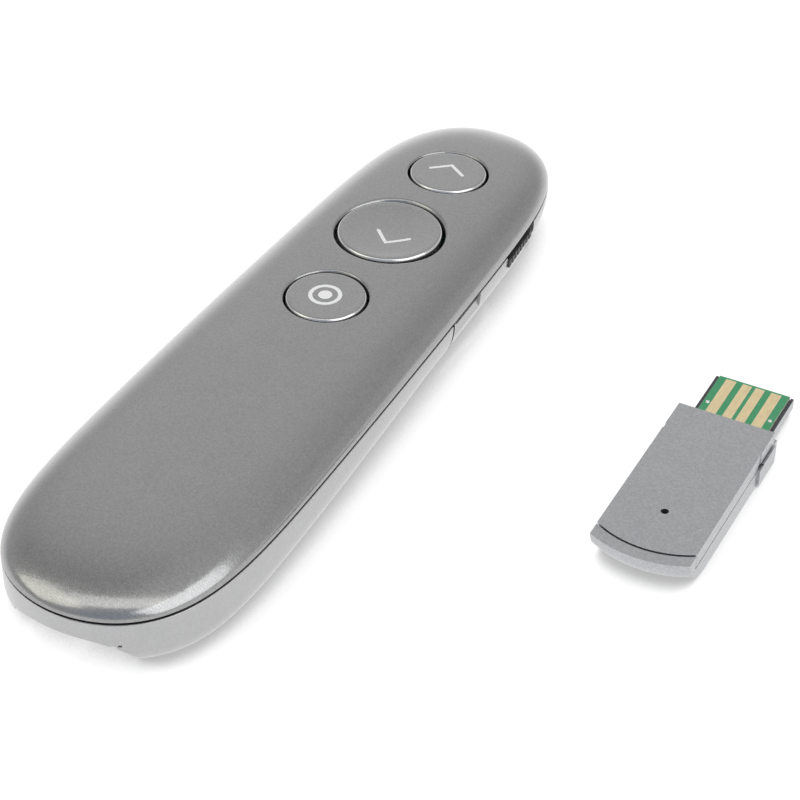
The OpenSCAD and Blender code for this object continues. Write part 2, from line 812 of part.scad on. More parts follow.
// Channel that carries the bare board inside the socket
module plug_tray() {
    half = plug_w / 2;
    color([0.25, 0.26, 0.3]) at_receiver() difference() {
        span([-half, plug_back + fit_gap, plug_z], [half, rx_tip, rx_board_top]);
        span([-half + plug_side, plug_back, plug_z + plug_floor],
            [half - plug_side, rx_tip - tray_lip, rx_h]);
    }
}

module receiver_chip() {
    color([0.08, 0.08, 0.08]) at_receiver() chip(rx_chip_size, 0, rx_chip_y, rx_board_top);
}

module receiver_led() {
    color([0.9, 0.9, 0.8]) at_receiver() chip(led_size, 0, led_y, rx_board_top);
}

module receiver_crystal() {
    color([0.8, 0.8, 0.78]) at_receiver() chip(crystal_size, 0, rx_crystal_y, rx_board_top);
}

top_shell();
bottom_shell();
battery_cover();
mid_frame();
main_board();
key_cap(up_y, small_r, 0);  // up_button
key_cap(down_y, large_r, dish_depth);  // down_button
key_cap(laser_y, small_r, 0);  // laser_button
plunger(up_y);  // up_plunger
plunger(down_y);  // down_plunger
plunger(laser_y);  // laser_plunger
tact_switch(up_y);  // up_switch
tact_switch(down_y);  // down_switch
tact_switch(laser_y);  // laser_switch
power_knob();
power_lever();
power_switch();
laser_barrel();
laser_lens();
laser_window();
battery_cell();
battery_spring();
contact_plate(box_rear);  // spring_plate
contact_plate(box_front - contact_t);  // positive_plate
radio_chip();
control_chip();
crystal();
boost_coil();
case_screws();
receiver_cover();
receiver_base();
receiver_board();
receiver_pads();
plug_tray();
receiver_chip();
receiver_led();
receiver_crystal();
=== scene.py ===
import json
import math

import bmesh
import bpy
import numpy as np
from mathutils import Matrix, Vector
from mathutils.bvhtree import BVHTree
from mathutils.geometry import delaunay_2d_cdt


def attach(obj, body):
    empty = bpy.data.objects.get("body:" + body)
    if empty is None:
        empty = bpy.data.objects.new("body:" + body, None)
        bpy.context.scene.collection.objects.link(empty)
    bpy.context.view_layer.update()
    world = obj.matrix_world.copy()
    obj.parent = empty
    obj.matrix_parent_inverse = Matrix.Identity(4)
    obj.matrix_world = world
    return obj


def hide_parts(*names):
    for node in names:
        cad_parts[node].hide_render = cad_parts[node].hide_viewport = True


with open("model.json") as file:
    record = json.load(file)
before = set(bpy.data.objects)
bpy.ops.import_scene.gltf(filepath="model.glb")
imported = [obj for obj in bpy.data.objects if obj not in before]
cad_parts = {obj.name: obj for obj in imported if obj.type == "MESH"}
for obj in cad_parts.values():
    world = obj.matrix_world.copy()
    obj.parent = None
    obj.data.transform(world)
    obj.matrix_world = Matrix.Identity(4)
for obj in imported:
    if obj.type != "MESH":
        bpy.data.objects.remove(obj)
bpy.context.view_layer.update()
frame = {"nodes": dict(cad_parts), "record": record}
nodes = frame["nodes"]
mm = 0.001


# ---------- camera, floor and light ----------

# Where the camera stands and aims, in millimetres, with its lens and its roll in degrees
camera_at, camera_aim = Vector((154.742, -256.716, 241.491)), Vector((12.375, 6.223, 0))
camera_lens, camera_roll = 118.08, -0.168
lamp_aim = Vector((0.01, 0, 0.01))

# The table: light its paper takes, reach of its close shadow in metres, how open a place is
# where that shadow is deepest and where it ends, and its deepest tone
paper_share, shadow_reach, shadow_full, shadow_end, shadow_tone = 0.12, 0.009, 0.26, 0.64, 0.42


def show(name, data):
    """New object in the scene."""
    thing = bpy.data.objects.new(name, data)
    bpy.context.scene.collection.objects.link(thing)
    return thing


def place_camera():
    forward = (camera_aim - camera_at).normalized()
    right = forward.cross(Vector((0, 0, 1))).normalized()
    up = right.cross(forward)
    roll = math.radians(camera_roll)
    across = right * math.cos(roll) - up * math.sin(roll)
    up = right * math.sin(roll) + up * math.cos(roll)
    data = bpy.data.cameras.new("camera")
    data.sensor_width = 36
    data.lens = camera_lens
    data.clip_start, data.clip_end = 0.02, 20
    camera = show("camera", data)
    axes = Matrix((across, up, -forward)).transposed().to_4x4()
    camera.matrix_world = Matrix.Translation(camera_at * mm) @ axes
    bpy.context.scene.camera = camera


def direction(bearing, elevation):
    """Unit vector at a bearing from the nose, clockwise from above."""
    a, e = math.radians(bearing), math.radians(elevation)
    return Vector((math.sin(a) * math.cos(e), math.cos(a) * math.cos(e), math.sin(e)))


def hang_lamp(name, azimuth, elevation, distance, width, height, radiance, tint, seen_in):
    """Softbox that faces the object from this way, seen in its gloss alone or its shade alone."""
    way = direction(azimuth, elevation)
    data = bpy.data.lights.new(name, "AREA")
    data.shape = "RECTANGLE"
    data.size, data.size_y = width, height
    data.energy = radiance * math.pi * width * height
    data.color = tint
    lamp = show(name, data)
    lamp.visible_diffuse, lamp.visible_glossy = seen_in != "gloss", seen_in != "shade"
    lamp.location = lamp_aim + way * distance
    lamp.rotation_euler = way.to_track_quat("Z", "Y").to_euler()


def lay_floor():
    """Pale table that stays white to the eye and keeps the soft shadows."""
    bm = bmesh.new()
    bmesh.ops.create_grid(bm, x_segments=1, y_segments=1, size=4)
    mesh = bpy.data.meshes.new("table")
    bm.to_mesh(mesh)
    bm.free()
    mesh.materials.append(make_table_paper())
    table = show("table", mesh)
    table.location = (0, 0, -0.00002)


def make_table_paper():
    """White to the eye and in gloss, shaded close to the object, and clear from below."""
    mat = bpy.data.materials.new("table_paper")
    mat.use_nodes = True
    tree = mat.node_tree
    tree.nodes.clear()
    paper = put(tree, "BsdfDiffuse", {"Color": grey(paper_share)})
    close = put(tree, "AmbientOcclusion", {"Distance": shadow_reach}, samples=8)
    shadow = put(tree, "MapRange", {0: close.outputs["AO"], 1: shadow_full, 2: shadow_end,
                                    3: shadow_tone}, interpolation_type="SMOOTHSTEP")
    rays = put(tree, "LightPath").outputs
    seen = calc(tree, "MAXIMUM", rays["Is Camera Ray"], rays["Is Glossy Ray"])
    seen = calc(tree, "MAXIMUM", seen, rays["Is Transmission Ray"])
    tone = blend(tree, rays["Is Glossy Ray"], shadow.outputs[0], grey(1))
    white = put(tree, "Emission", {"Color": tone, "Strength": seen})
    both = put(tree, "AddShader", {0: paper.outputs[0], 1: white.outputs[0]})
    below, clear = put(tree, "NewGeometry"), put(tree, "BsdfTransparent")
    sheet = put(tree, "MixShader", {0: below.outputs["Backfacing"], 1: both.outputs[0],
                                    2: clear.outputs[0]})
    put(tree, "OutputMaterial", {0: sheet.outputs[0]})
    return mat


def set_world(base, patches):
    """Studio surround with soft patches: bearing, height, inner and outer spread, and tone."""
    world = bpy.data.worlds.new("studio")
    bpy.context.scene.world = world
    world.use_nodes = True
    tree = world.node_tree
    seen = put(tree, "TexCoord").outputs["Generated"]
    for bearing, elevation, near, far, tone in patches:
        aim = direction(bearing, elevation)
        turn = vector(tree, "DOT_PRODUCT", seen, aim, out=1)
        low, high = math.cos(math.radians(far)), math.cos(math.radians(near))
        share = put(tree, "MapRange", {0: turn, 1: low, 2: high},
                    interpolation_type="SMOOTHSTEP")
        base = blend(tree, share.outputs[0], base, tone)
    tree.links.new(base, tree.nodes["Background"].inputs["Color"])


# ---------- outline and dome of the handset, in millimetres ----------

half_len, mid_w, taper, end_slim = 63.5, 33.9, 1.74, 1.0
nose_pow, tail_pow, side_pow, top_pow, crest_pow = 8.4, 7.2, 2.71, 1.97, 6.1
split_h, split_fall, split_bow = 9.6, 0.33, 0.2
dome_h, dome_bow, top_wall = 4.9, 0.75, 1.2
side_wall, floor_t, groove_h, groove_d = 1.4, 1.2, 0.42, 1.1


def half_w(y):
    u = y / half_len
    end = np.where(u > 0, nose_pow, tail_pow)
    wide = mid_w / 2 - taper * u - end_slim * u * u
    return wide * np.sqrt(np.maximum(0, 1 - np.abs(u) ** end))


def split_z(y):
    u = y / half_len
    return split_h - split_fall * u - split_bow * u * u


def belly(y):
    """How far in and how high the underside's rounding reaches: tightest at the tail."""
    u = y / half_len
    reach = np.minimum(7.3 + 4 * u, 9.05) - 2.6 * np.clip((u - 0.6) / 0.4, 0, 1) ** 2
    reach = reach + 2.56 * np.clip((-u - 0.75) / 0.25, 0, 1) ** 2
    return reach, np.minimum(1.1 * reach + 0.2, split_z(y) - groove_h - 0.35)


def dome_z(x, y):
    u = y / half_len
    crest = (dome_h - dome_bow * u * u) * np.sqrt(np.maximum(0, 1 - np.abs(u) ** crest_pow))
    across = np.minimum(1, np.abs(x) / np.maximum(half_w(y), 0.001))
    return split_z(y) + crest * np.maximum(0, 1 - across ** side_pow) ** (1 / top_pow)


def dome_in_z(x, y):
    """Underside of the top shell."""
    x, y = x / (1 - 2 * top_wall / mid_w), y / (1 - top_wall / half_len)
    return split_z(y) + (dome_z(x, y) - split_z(y)) * (1 - top_wall / dome_h)


def slope_normal(height, x, y, step=0.01):
    rise_x = (height(x + step, y) - height(x - step, y)) / (2 * step)
    rise_y = (height(x, y + step) - height(x, y - step)) / (2 * step)
    n = np.stack([-rise_x, -rise_y, np.ones_like(rise_x)], 1)
    return n / np.linalg.norm(n, axis=1, keepdims=True)


def rim_points(n):
    """n points evenly spaced round the outline, anticlockwise from the tail."""
    v = np.linspace(-1, 1, 6001)
    turn = np.sign(v) * np.abs(v) ** 3.6 * math.pi / 2

    def side(t):
        end = np.where(t > 0, nose_pow, tail_pow)
        u = np.sign(t) * np.abs(np.sin(t)) ** (2 / end)
        return (mid_w / 2 - taper * u - end_slim * u * u) * np.cos(t), u * half_len

    x, y = side(turn)
    run = np.concatenate([[0], np.cumsum(np.hypot(np.diff(x), np.diff(y)))])
    even = np.interp(np.linspace(0, run[-1], n // 2 + 1), run, turn)
    x, y = side(even)
    x[0] = x[-1] = 0
    right = np.stack([x, y], 1)
    return np.concatenate([right, right[-2:0:-1] * (-1, 1)])


def inset(p, d):
    """Ring p moved in by d, a number or one distance for each point."""
    d = np.broadcast_to(d, len(p))
    return p * np.column_stack([1 - 2 * d / mid_w, 1 - d / half_len])


# ---------- making meshes ----------

# Points closer than this, in metres, are one
weld_gap = 0.0000005


def ring_quads(first, second, n):
    """Faces between two closed rings of n points, whose first indices are given."""
    i = np.arange(n)
    j = (i + 1) % n
    return np.stack([first + i, first + j, second + j, second + i], 1).tolist()


def loft(rings):
    """Points and faces of a skin through closed rings of equal length."""
    n = len(rings[0])
    faces = [f for k in range(len(rings) - 1) for f in ring_quads(k * n, (k + 1) * n, n)]
    return np.concatenate(rings), faces


def level(p, z):
    """Ring p at height z, a number or one height for each point."""
    return np.column_stack([p, np.broadcast_to(z, len(p))])


def join_skins(skins):
    points, faces, start = [], [], 0
    for p, f in skins:
        points.append(p)
        faces += [[start + i for i in face] for face in f]
        start += len(p)
    return np.concatenate(points), faces


def make_mesh(name, points, faces, crease=30):
    """Welded smooth mesh with its normals outwards; edges sharper than crease stay crisp."""
    mesh = bpy.data.meshes.new(name)
    mesh.from_pydata((np.asarray(points, float) * mm).tolist(), [], faces)
    bm = bmesh.new()
    bm.from_mesh(mesh)
    bmesh.ops.remove_doubles(bm, verts=bm.verts, dist=weld_gap)
    bmesh.ops.recalc_face_normals(bm, faces=bm.faces)
    set_creases(bm, crease)
    bm.to_mesh(mesh)
    bm.free()
    return mesh


def set_creases(bm, crease):
    for f in bm.faces:
        f.smooth = True
    limit = math.radians(crease)
    for e in bm.edges:
        e.smooth = len(e.link_faces) == 2 and e.calc_face_angle(math.pi) < limit


def corner_normals(mesh):
    n = np.zeros(len(mesh.loops) * 3, np.float32)
    mesh.corner_normals.foreach_get("vector", n)
    return n.reshape(-1, 3)


def add_piece(name, mesh, finishes, body, slot, *stands_for):
    """Piece in these finishes that rides on a body and stands for the solids named last."""
    piece = show(name, mesh)
    for finish in finishes:
        mesh.materials.append(FINISH[finish])
    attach(piece, body)
    if stands_for:
        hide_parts(*stands_for)


def block(low, high, turn=None):
    """Box mesh from its low corner to its high corner, in millimetres."""
    x, y, z = zip(low, high)
    points = np.array([(a, b, c) for c in z for a, b in ((x[0], y[0]), (x[1], y[0]),
                                                        (x[1], y[1]), (x[0], y[1]))])
    faces = [[3, 2, 1, 0], [4, 5, 6, 7]] + [[i, (i + 1) % 4, (i + 1) % 4 + 4, i + 4]
                                            for i in range(4)]
    return place_points(points, turn), faces


def place_points(points, turn):
    if turn is None:
        return points
    turn = np.array(turn)
    return points @ turn[:3, :3].T + turn[:3, 3]


def turned(profile, n, turn=None):
    """Closed solid of revolution about z; the profile's first and last points lie on the axis."""
    a = np.arange(n) * 2 * math.pi / n
    circle = np.column_stack([np.cos(a), np.sin(a)])
    points, faces = loft([level(circle * r, z) for r, z in profile[1:-1]])
    count = len(profile) - 2
    points = np.concatenate([points, [[0, 0, profile[0][1]], [0, 0, profile[-1][1]]]])
    for i in range(n):
        j = (i + 1) % n
        faces.append([count * n, j, i])
        faces.append([count * n + 1, (count - 1) * n + i, (count - 1) * n + j])
    return place_points(points, turn), faces


def rod(r, low, high, n, turn):
    return turned([(0, low), (r, low), (r, high), (0, high)], n, turn)


def post(x, y, r, low, high, n=48):
    return rod(r, low, high, n, Matrix.Translation((x, y, 0)))


def apply_modifiers(work, *tools):
    """Final mesh of a working object, which then goes with its tools."""
    graph = bpy.context.evaluated_depsgraph_get()
    mesh = bpy.data.meshes.new_from_object(work.evaluated_get(graph))
    for o in (work, *tools):
        bpy.data.objects.remove(o)
    return mesh


def carve(mesh, *steps):
    """Exact cuts and joins, in turn: each step is an operation and the skins it takes."""
    work, tools = show("blank", mesh), []
    for operation, skins in steps:
        for points, faces in skins:
            tools.append(show("tool", make_mesh("tool", points, faces)))
            cut = work.modifiers.new("cut", "BOOLEAN")
            cut.operation, cut.solver, cut.object = operation, "EXACT", tools[-1]
    carved = apply_modifiers(work, *tools)
    bm = bmesh.new()
    bm.from_mesh(carved)
    bmesh.ops.remove_doubles(bm, verts=bm.verts, dist=weld_gap)
    bmesh.ops.dissolve_degenerate(bm, edges=bm.edges, dist=weld_gap)
    set_creases(bm, 30)
    bm.to_mesh(carved)
    bm.free()
    return carved


def break_edges(mesh, width):
    """Rounds the sharp edges and keeps the flats flat."""
    work = show("blank", mesh)
    bevel = work.modifiers.new("broken_edges", "BEVEL")
    bevel.width, bevel.segments = width * mm, 2
    bevel.limit_method, bevel.angle_limit = "ANGLE", math.radians(30)
    bevel.harden_normals = True
    return apply_modifiers(work)


def finish_sides(mesh, is_side):
    """Gives the faces that is_side picks, by centre and normal, the second finish."""
    for f in mesh.polygons:
        f.material_index = int(is_side(f.center / mm, f.normal))


def share_in(p, a, b, c):
    """Barycentric shares of p in a triangle."""
    e, f, g = b - a, c - a, p - a
    ee, ef, ff, ge, gf = e.dot(e), e.dot(f), f.dot(f), g.dot(e), g.dot(f)
    d = max(ee * ff - ef * ef, 1e-30)
    v, w = (ff * ge - ef * gf) / d, (ee * gf - ef * ge) / d
    return np.clip(np.array([1 - v - w, v, w]), 0, 1)


def carry_normals(mesh, source):
    """Corners that still lie on the uncut skin keep its shading."""
    source.calc_loop_triangles()
    tris = [tuple(t.vertices) for t in source.loop_triangles]
    corners = [tuple(t.loops) for t in source.loop_triangles]
    points = [v.co.copy() for v in source.vertices]
    tree = BVHTree.FromPolygons(points, tris)
    skin, own = corner_normals(source), corner_normals(mesh)
    for f in mesh.polygons:
        if f.area < 1e-13:
            continue
        _, n, index, gap = tree.find_nearest(f.center)
        if index is None or gap > 0.000002 or abs(n.dot(f.normal)) < 0.97:
            continue
        for i in f.loop_indices:
            at = mesh.vertices[mesh.loops[i].vertex_index].co.lerp(f.center, 0.02)
            near, _, index, _ = tree.find_nearest(at)
            share = share_in(near, *(points[k] for k in tris[index]))
            mixed = share @ skin[list(corners[index])]
            own[i] = mixed / max(np.linalg.norm(mixed), 1e-9)
    mesh.normals_split_custom_set(own.tolist())


# ---------- casing ----------

# Battery cover: its seam, the tongue at its front and the gap round it
seam_y, tongue_y, tongue_half, tongue_r, seam_gap = 15, 33.25, 14.2, 5, 0.45
# Receiver bay in the cover, and the arch that opens it through the tail wall
bay_half, bay_front, bay_roof, mouth_half, mouth_high, mouth_pow = 7.9, -17.8, 5.61, 9.8, 6.5, 3
# Finger recess in each flank: middle, length, radius, depth and drop under the groove
scoop_y, scoop_len, scoop_r, scoop_depth, scoop_drop = 20.15, 8.4, 4, 0.55, 0.9
# Band of painted shade over the recess: its rear and front ends and its drop under the groove
shade_band_rear, shade_band_front, shade_band_drop = 14, 26, 1.1
# Power slot in the right wall: middle, half length, reach inwards and drop from the parting line
power_y, slot_half, slot_in, slot_drop = 39.6, 5.4, 2.4, 2.3
# Nose screws: place, post, hole and the wide hole for the head
screw_x, screw_y, post_r, screw_r, head_r, head_top = 9, 50, 2.7, 1.1, 2.05, 2.4
# Laser module: height, bore, hole in the nose wall and half width of its cradles
laser_z, laser_r, beam_r, cradle_half = 4.1, 2.85, 1.7, 3.4


def share_of(plan):
    """How far out each plan point lies: 0 at the middle, 1 on the outline."""
    low = np.maximum(np.abs(plan[:, 1]) / half_len, 1e-6)
    high = np.ones(len(plan)) * 1.2
    for _ in range(40):
        mid = (low + high) / 2
        inside = np.abs(plan[:, 0]) / mid <= half_w(np.minimum(np.abs(plan[:, 1] / mid), half_len)
                                                    * np.sign(plan[:, 1]))
        high, low = np.where(inside, mid, high), np.where(inside, low, mid)
    return high


def dome_skin(height, rim, shares, holes, pitch=1.0):
    """Rings from the rim inwards, then fine triangles round the hole rings."""
    rings = [level(s * rim, height(s * rim[:, 0], s * rim[:, 1])) for s in shares]
    points, faces = loft(rings)
    n, border = len(rim), shares[-1] * rim
    rows = np.arange(-half_len, half_len, pitch * 0.87)
    grid = np.array([[x + (k % 2) * pitch / 2, y] for k, y in enumerate(rows)
                     for x in np.arange(-mid_w / 2, mid_w / 2, pitch)])
    keep = share_of(grid) < shares[-1] - 0.02
    for ring in holes:
        middle = ring[:, :2].mean(0)
        reach = np.linalg.norm(ring[:, :2] - middle, axis=1).max()
        keep &= np.linalg.norm(grid - middle, axis=1) > reach + pitch / 2
    grid = grid[keep]
    inner = level(grid, height(grid[:, 0], grid[:, 1]))
    flat = np.concatenate([border] + [h[:, :2] for h in holes] + [grid])
    tris = delaunay_2d_cdt([Vector(p) for p in flat], [], [], 0, 1e-5)[2]
    owner = np.concatenate([np.full(len(h), k) for k, h in enumerate([border, *holes])]
                           + [np.full(len(grid), -1)])
    start = len(points) - n
    points = np.concatenate([points, *holes, inner])
    for t in tris:
        a, b, c = (owner[i] for i in t)
        if not (a == b == c and a > 0):
            faces.append([start + i for i in t])
    return points, faces


# Each button: its place, radius, gap, round of the hole's rim and hollow of the face
KEYS = {
    "up": dict(y=44.6, r=5.95, gap=0.3, rim=0.4, dish=0),
    "down": dict(y=25.7, r=7.9, gap=0.4, rim=0.65, dish=0.8),
    "laser": dict(y=6.5, r=5.95, gap=0.3, rim=0.4, dish=0),
}
cap_round = 0.65


def key_seat(key):
    """Frame at the centre of a button's face, tilted with the dome."""
    y, r = key["y"], key["r"]
    low, middle, high = dome_z(np.zeros(3), np.array([y - r, y, y + r]))
    tilt = math.atan((high - low) / (2 * r))
    return np.array(Matrix.Translation((0, y, middle)) @ Matrix.Rotation(tilt, 4, "X"))


def tube_meets(height, seat, r):
    """Where a tube of radius r about a seat meets a skin, in the seat's own frame."""
    n = 160
    a = np.arange(n) * 2 * math.pi / n
    local = np.stack([r * np.cos(a), r * np.sin(a), np.zeros(n), np.ones(n)])
    for _ in range(12):
        p = seat @ local
        local[2] += height(p[0], p[1]) - p[2]
    return local


def hole_rings(key):
    """Rings down a button's hole, from the dome over the rounded rim to the shell's underside."""
    seat, hole, rim = key_seat(key), key["r"] + key["gap"], key["rim"]
    rings = []
    for k in range(7):
        a = math.pi / 2 * k / 6
        local = tube_meets(dome_z, seat, hole + rim * (1 - math.sin(a)))
        local[2] -= rim * (1 - math.cos(a))
        rings.append((seat @ local)[:3].T)
    rings.append((seat @ tube_meets(dome_in_z, seat, hole))[:3].T)
    return rings


def make_top_casing():
    rim = rim_points(400)
    turns = np.linspace(0, math.pi / 2, 49)[1:]
    shares = [s for s in np.sin(turns[::-1]) ** (2 / side_pow) if s > 0.86]
    shares[0] = 0.9995
    holes = [hole_rings(k) for k in KEYS.values()]
    outer = dome_skin(dome_z, rim, shares, [h[0] for h in holes])
    lip = 0.12
    base = split_z(rim[:, 1])
    edge = [level(inset(rim, lip * (1 - math.cos(a))), base + lip * (1 - math.sin(a)))
            for a in np.linspace(0, math.pi / 2, 5)]
    rim_in = inset(rim, top_wall)
    inner = dome_skin(dome_in_z, rim_in, [1, 0.98, 0.95, 0.9, 0.86], [h[-1] for h in holes], 2.5)
    first = level(shares[0] * rim, dome_z(*(shares[0] * rim).T))
    lower = loft([first, *edge, level(rim_in, base)])
    skins = [outer, inner, lower] + [loft(h) for h in holes]
    mesh = make_mesh("top_casing", *join_skins(skins))
    at = np.array([v.co for v in mesh.vertices]) / mm
    on_dome = np.abs(dome_z(at[:, 0], at[:, 1]) - at[:, 2]) < 0.0002
    on_dome &= share_of(at[:, :2]) < shares[-1] + 0.0001
    true = np.zeros_like(at)
    true[on_dome] = slope_normal(dome_z, at[on_dome, 0], at[on_dome, 1])
    own = corner_normals(mesh)
    for f in mesh.polygons:
        for i, v in zip(f.loop_indices, f.vertices):
            if on_dome[v] and true[v] @ np.array(f.normal) > 0.8:
                own[i] = true[v]
    mesh.normals_split_custom_set(own.tolist())
    return mesh


def make_tub():
    """Whole lower casing before it is split into its front and the battery cover."""
    rim, lip, shade_in = rim_points(320), 0.1, 0.2
    top = split_z(rim[:, 1])
    reach, high = belly(rim[:, 1])
    turns = np.linspace(0, math.pi / 2, 25)
    rings = [level(inset(rim, reach * (1 - math.sin(a))), high * (1 - math.cos(a)))
             for a in turns]
    rings += [level(inset(rim, lip * (1 - math.cos(a))),
                    top - groove_h - 0.02 - lip * (1 - math.sin(a)))
              for a in np.linspace(0, math.pi / 2, 5)]
    rings += [level(inset(rim, shade_in), top - groove_h - 0.02),
              level(inset(rim, groove_d), top - groove_h), level(inset(rim, groove_d), top - 0.1),
              level(inset(rim, side_wall), top - 0.1)]
    rings += [level(inset(rim, side_wall + (reach - side_wall) * (1 - math.sin(a))),
                    floor_t + (high - floor_t) * (1 - math.cos(a))) for a in turns[::-2]]
    points, faces = loft(rings)
    n = len(rim)
    faces += [list(range(n))[::-1], list(range(len(points) - n, len(points)))]
    tub = make_mesh("tub", points, faces)
    for finish in ("shell_silver", "frame_black"):
        tub.materials.append(FINISH[finish])
    # Painted shade: the ledge and inner wall of the groove under the parting line take the black
    # finish, for the dark gap between the shells
    for f in tub.polygons:
        middle = f.center / mm
        f.material_index = int(middle.z > split_z(middle.y) - groove_h - 0.012)
    return tub


def prism(plan, low, high):
    """Solid over a plan, from one height to another."""
    points, faces = loft([level(plan, low), level(plan, high)])
    n = len(plan)
    return points, faces + [list(range(n))[::-1], list(range(n, 2 * n))]


def cover_plan(grow):
    """Prism over the battery cover's plan, with the round-cornered tongue at its front."""
    seam, tongue, half, r = seam_y + grow, tongue_y + grow, tongue_half + grow, tongue_r + grow
    outside, behind = 40, -80
    corner = [(half - r + r * math.cos(a), tongue - r + r * math.sin(a))
              for a in np.linspace(0, math.pi / 2, 25)]
    right = [(outside, behind), (outside, seam), (half, seam), *corner]
    return prism(np.array(right + [(-x, y) for x, y in right[::-1]]), -1, 12)


def wall_frame(y, reach, side=1):
    """Frame on a side wall at y, its own y along the chord that reaches this far both ways."""
    wide = half_w(np.array([y - reach, y, y + reach]))
    turn = side * -math.atan((wide[2] - wide[0]) / (2 * reach))
    return Matrix.Translation((side * wide[1], y, 0)) @ Matrix.Rotation(turn, 4, "Z")


def finger_scoop(side):
    r, height = scoop_r, split_z(scoop_y) - groove_h - scoop_drop
    frame_at = wall_frame(scoop_y, scoop_len / 2, side)
    frame_at @= Matrix.Translation((side * (r - scoop_depth), scoop_len / 2, height))
    frame_at @= Matrix.Rotation(math.pi / 2, 4, "X")
    return rod(r, 0, scoop_len, 96, frame_at)


def lying(r, low, high, z):
    """Solid cylinder along the handset's axis at height z."""
    turn = Matrix.Translation((0, 0, z)) @ Matrix.Rotation(-math.pi / 2, 4, "X")
    return rod(r, low, high, 64, turn)


def paint_gap_shade(front):
    """Painted shade: black inside the seam and in a band where the groove opens over the finger
    recesses.
    """
    for f in front.polygons:
        at = f.center / mm
        inward = abs(at.x) < half_w(at.y) - 0.12 and abs(f.normal.x) > 0.4
        over_scoop = shade_band_rear < at.y < shade_band_front and at.z > split_z(at.y) - groove_h - shade_band_drop
        in_seam = f.normal.y < -0.9 and at.y < seam_y + 1 and at.z > 3
        if inward and over_scoop or in_seam:
            f.material_index = 1


def make_front_casing():
    tub, sides = make_tub(), (-1, 1)
    posts = [post(s * screw_x, screw_y, post_r, 0.3, 7) for s in sides]
    cradles = [block((-cradle_half, y, 0.6), (cradle_half, y + 1.2, laser_z))
               for y in (46.5, 53.5)]
    holes = [post(s * screw_x, screw_y, screw_r, -1, 8) for s in sides]
    holes += [post(s * screw_x, screw_y, head_r, -1, head_top) for s in sides]
    holes += [lying(laser_r, 43.5, 57.5, laser_z), lying(beam_r, 59.9, 65, laser_z)]
    slot_low, wall = float(split_z(power_y)) - slot_drop, wall_frame(power_y, 5)
    holes += [block((-slot_in, -slot_half, slot_low), (1, slot_half, 12), wall)]
    holes += [finger_scoop(1), finger_scoop(-1)]
    front = carve(tub.copy(), ("DIFFERENCE", [cover_plan(seam_gap)]), ("UNION", posts + cradles),
                  ("DIFFERENCE", holes))
    paint_gap_shade(front)
    carry_normals(front, tub)
    return front


def bay_mouth():
    """Arch that opens the receiver bay through the tail wall."""
    arch = [(mouth_half * np.sign(c) * abs(c) ** (2 / mouth_pow), mouth_high * s ** (2 / mouth_pow))
            for c, s in ((math.cos(a), math.sin(a)) for a in np.linspace(0, math.pi, 48))]
    plan = np.array([(-mouth_half, -1), (mouth_half, -1), *arch])
    points, faces = prism(plan, 57.5, 65)
    return np.column_stack([points[:, 0], -points[:, 2], points[:, 1]]), faces


def make_tail_cover():
    tub = make_tub()
    bay = block((-bay_half, -64.5, -1), (bay_half, bay_front, bay_roof))
    catch = block((7.8, -64, 5.5), (8.5, -60, 5.85))
    cover = carve(tub.copy(), ("INTERSECT", [cover_plan(0)]),
                  ("DIFFERENCE", [bay, bay_mouth(), catch]))
    carry_normals(cover, tub)
    return cover


# ---------- buttons ----------

# Inside of a button: its skirt's depth and wall, its roof, the nub that meets the plunger
cap_depth, cap_wall, cap_roof, nub_r, nub_gap, plunger_top = 1.95, 1, 1.1, 1.3, 0.12, 11.2
# Tabs that hold a button under the shell: half width, reach in and out, underside and top
tab_half, tab_in, tab_out, tab_low, tab_top = 1.5, 0.8, 0.75, 2.3, 1.8
# Printed marks: thickness over the face, depth of their root and width of a stroke
film, root, stroke_w = 0.02, 0.03, 0.54


def make_cap(name, key):
    """Turned cap with a rounded edge, hollow back, nub and three tabs."""
    seat, r, flat = key_seat(key), key["r"], key["r"] - cap_round
    nub = seat[2, 3] - plunger_top - nub_gap
    face = [(flat * k / 14, -face_depth(key, flat * k / 14)) for k in range(14)]
    edge = [(flat + cap_round * math.sin(a) ** 0.8, -cap_round * (1 - math.cos(a) ** 0.8))
            for a in np.linspace(0, math.pi / 2, 9)]
    back = [(r, -cap_depth), (r - cap_wall, -cap_depth), (r - cap_wall, -cap_roof),
            (nub_r, -cap_roof), (nub_r, -nub), (0, -nub)]
    cap = make_mesh(name, *turned(face + edge + back, 160), crease=40)
    tabs = []
    for a in (-90, 0, 90):
        turn = Matrix.Rotation(math.radians(a), 4, "Z")
        tabs.append(block((r - tab_in, -tab_half, -tab_low), (r + tab_out, tab_half, -tab_top),
                          turn))
    cap = carve(cap, ("UNION", tabs))
    finish_sides(cap, lambda at, n: 0.12 < n.z < 0.88 and np.hypot(at.x, at.y) > flat)
    cap.transform(seat_in_metres(seat))
    return cap


def seat_in_metres(seat):
    m = seat.copy()
    m[:3, 3] *= mm
    return Matrix(m)


def face_depth(key, r):
    """How far a button's face lies under its rim at radius r."""
    return key["dish"] * (1 - (r / (key["r"] - cap_round)) ** 2)


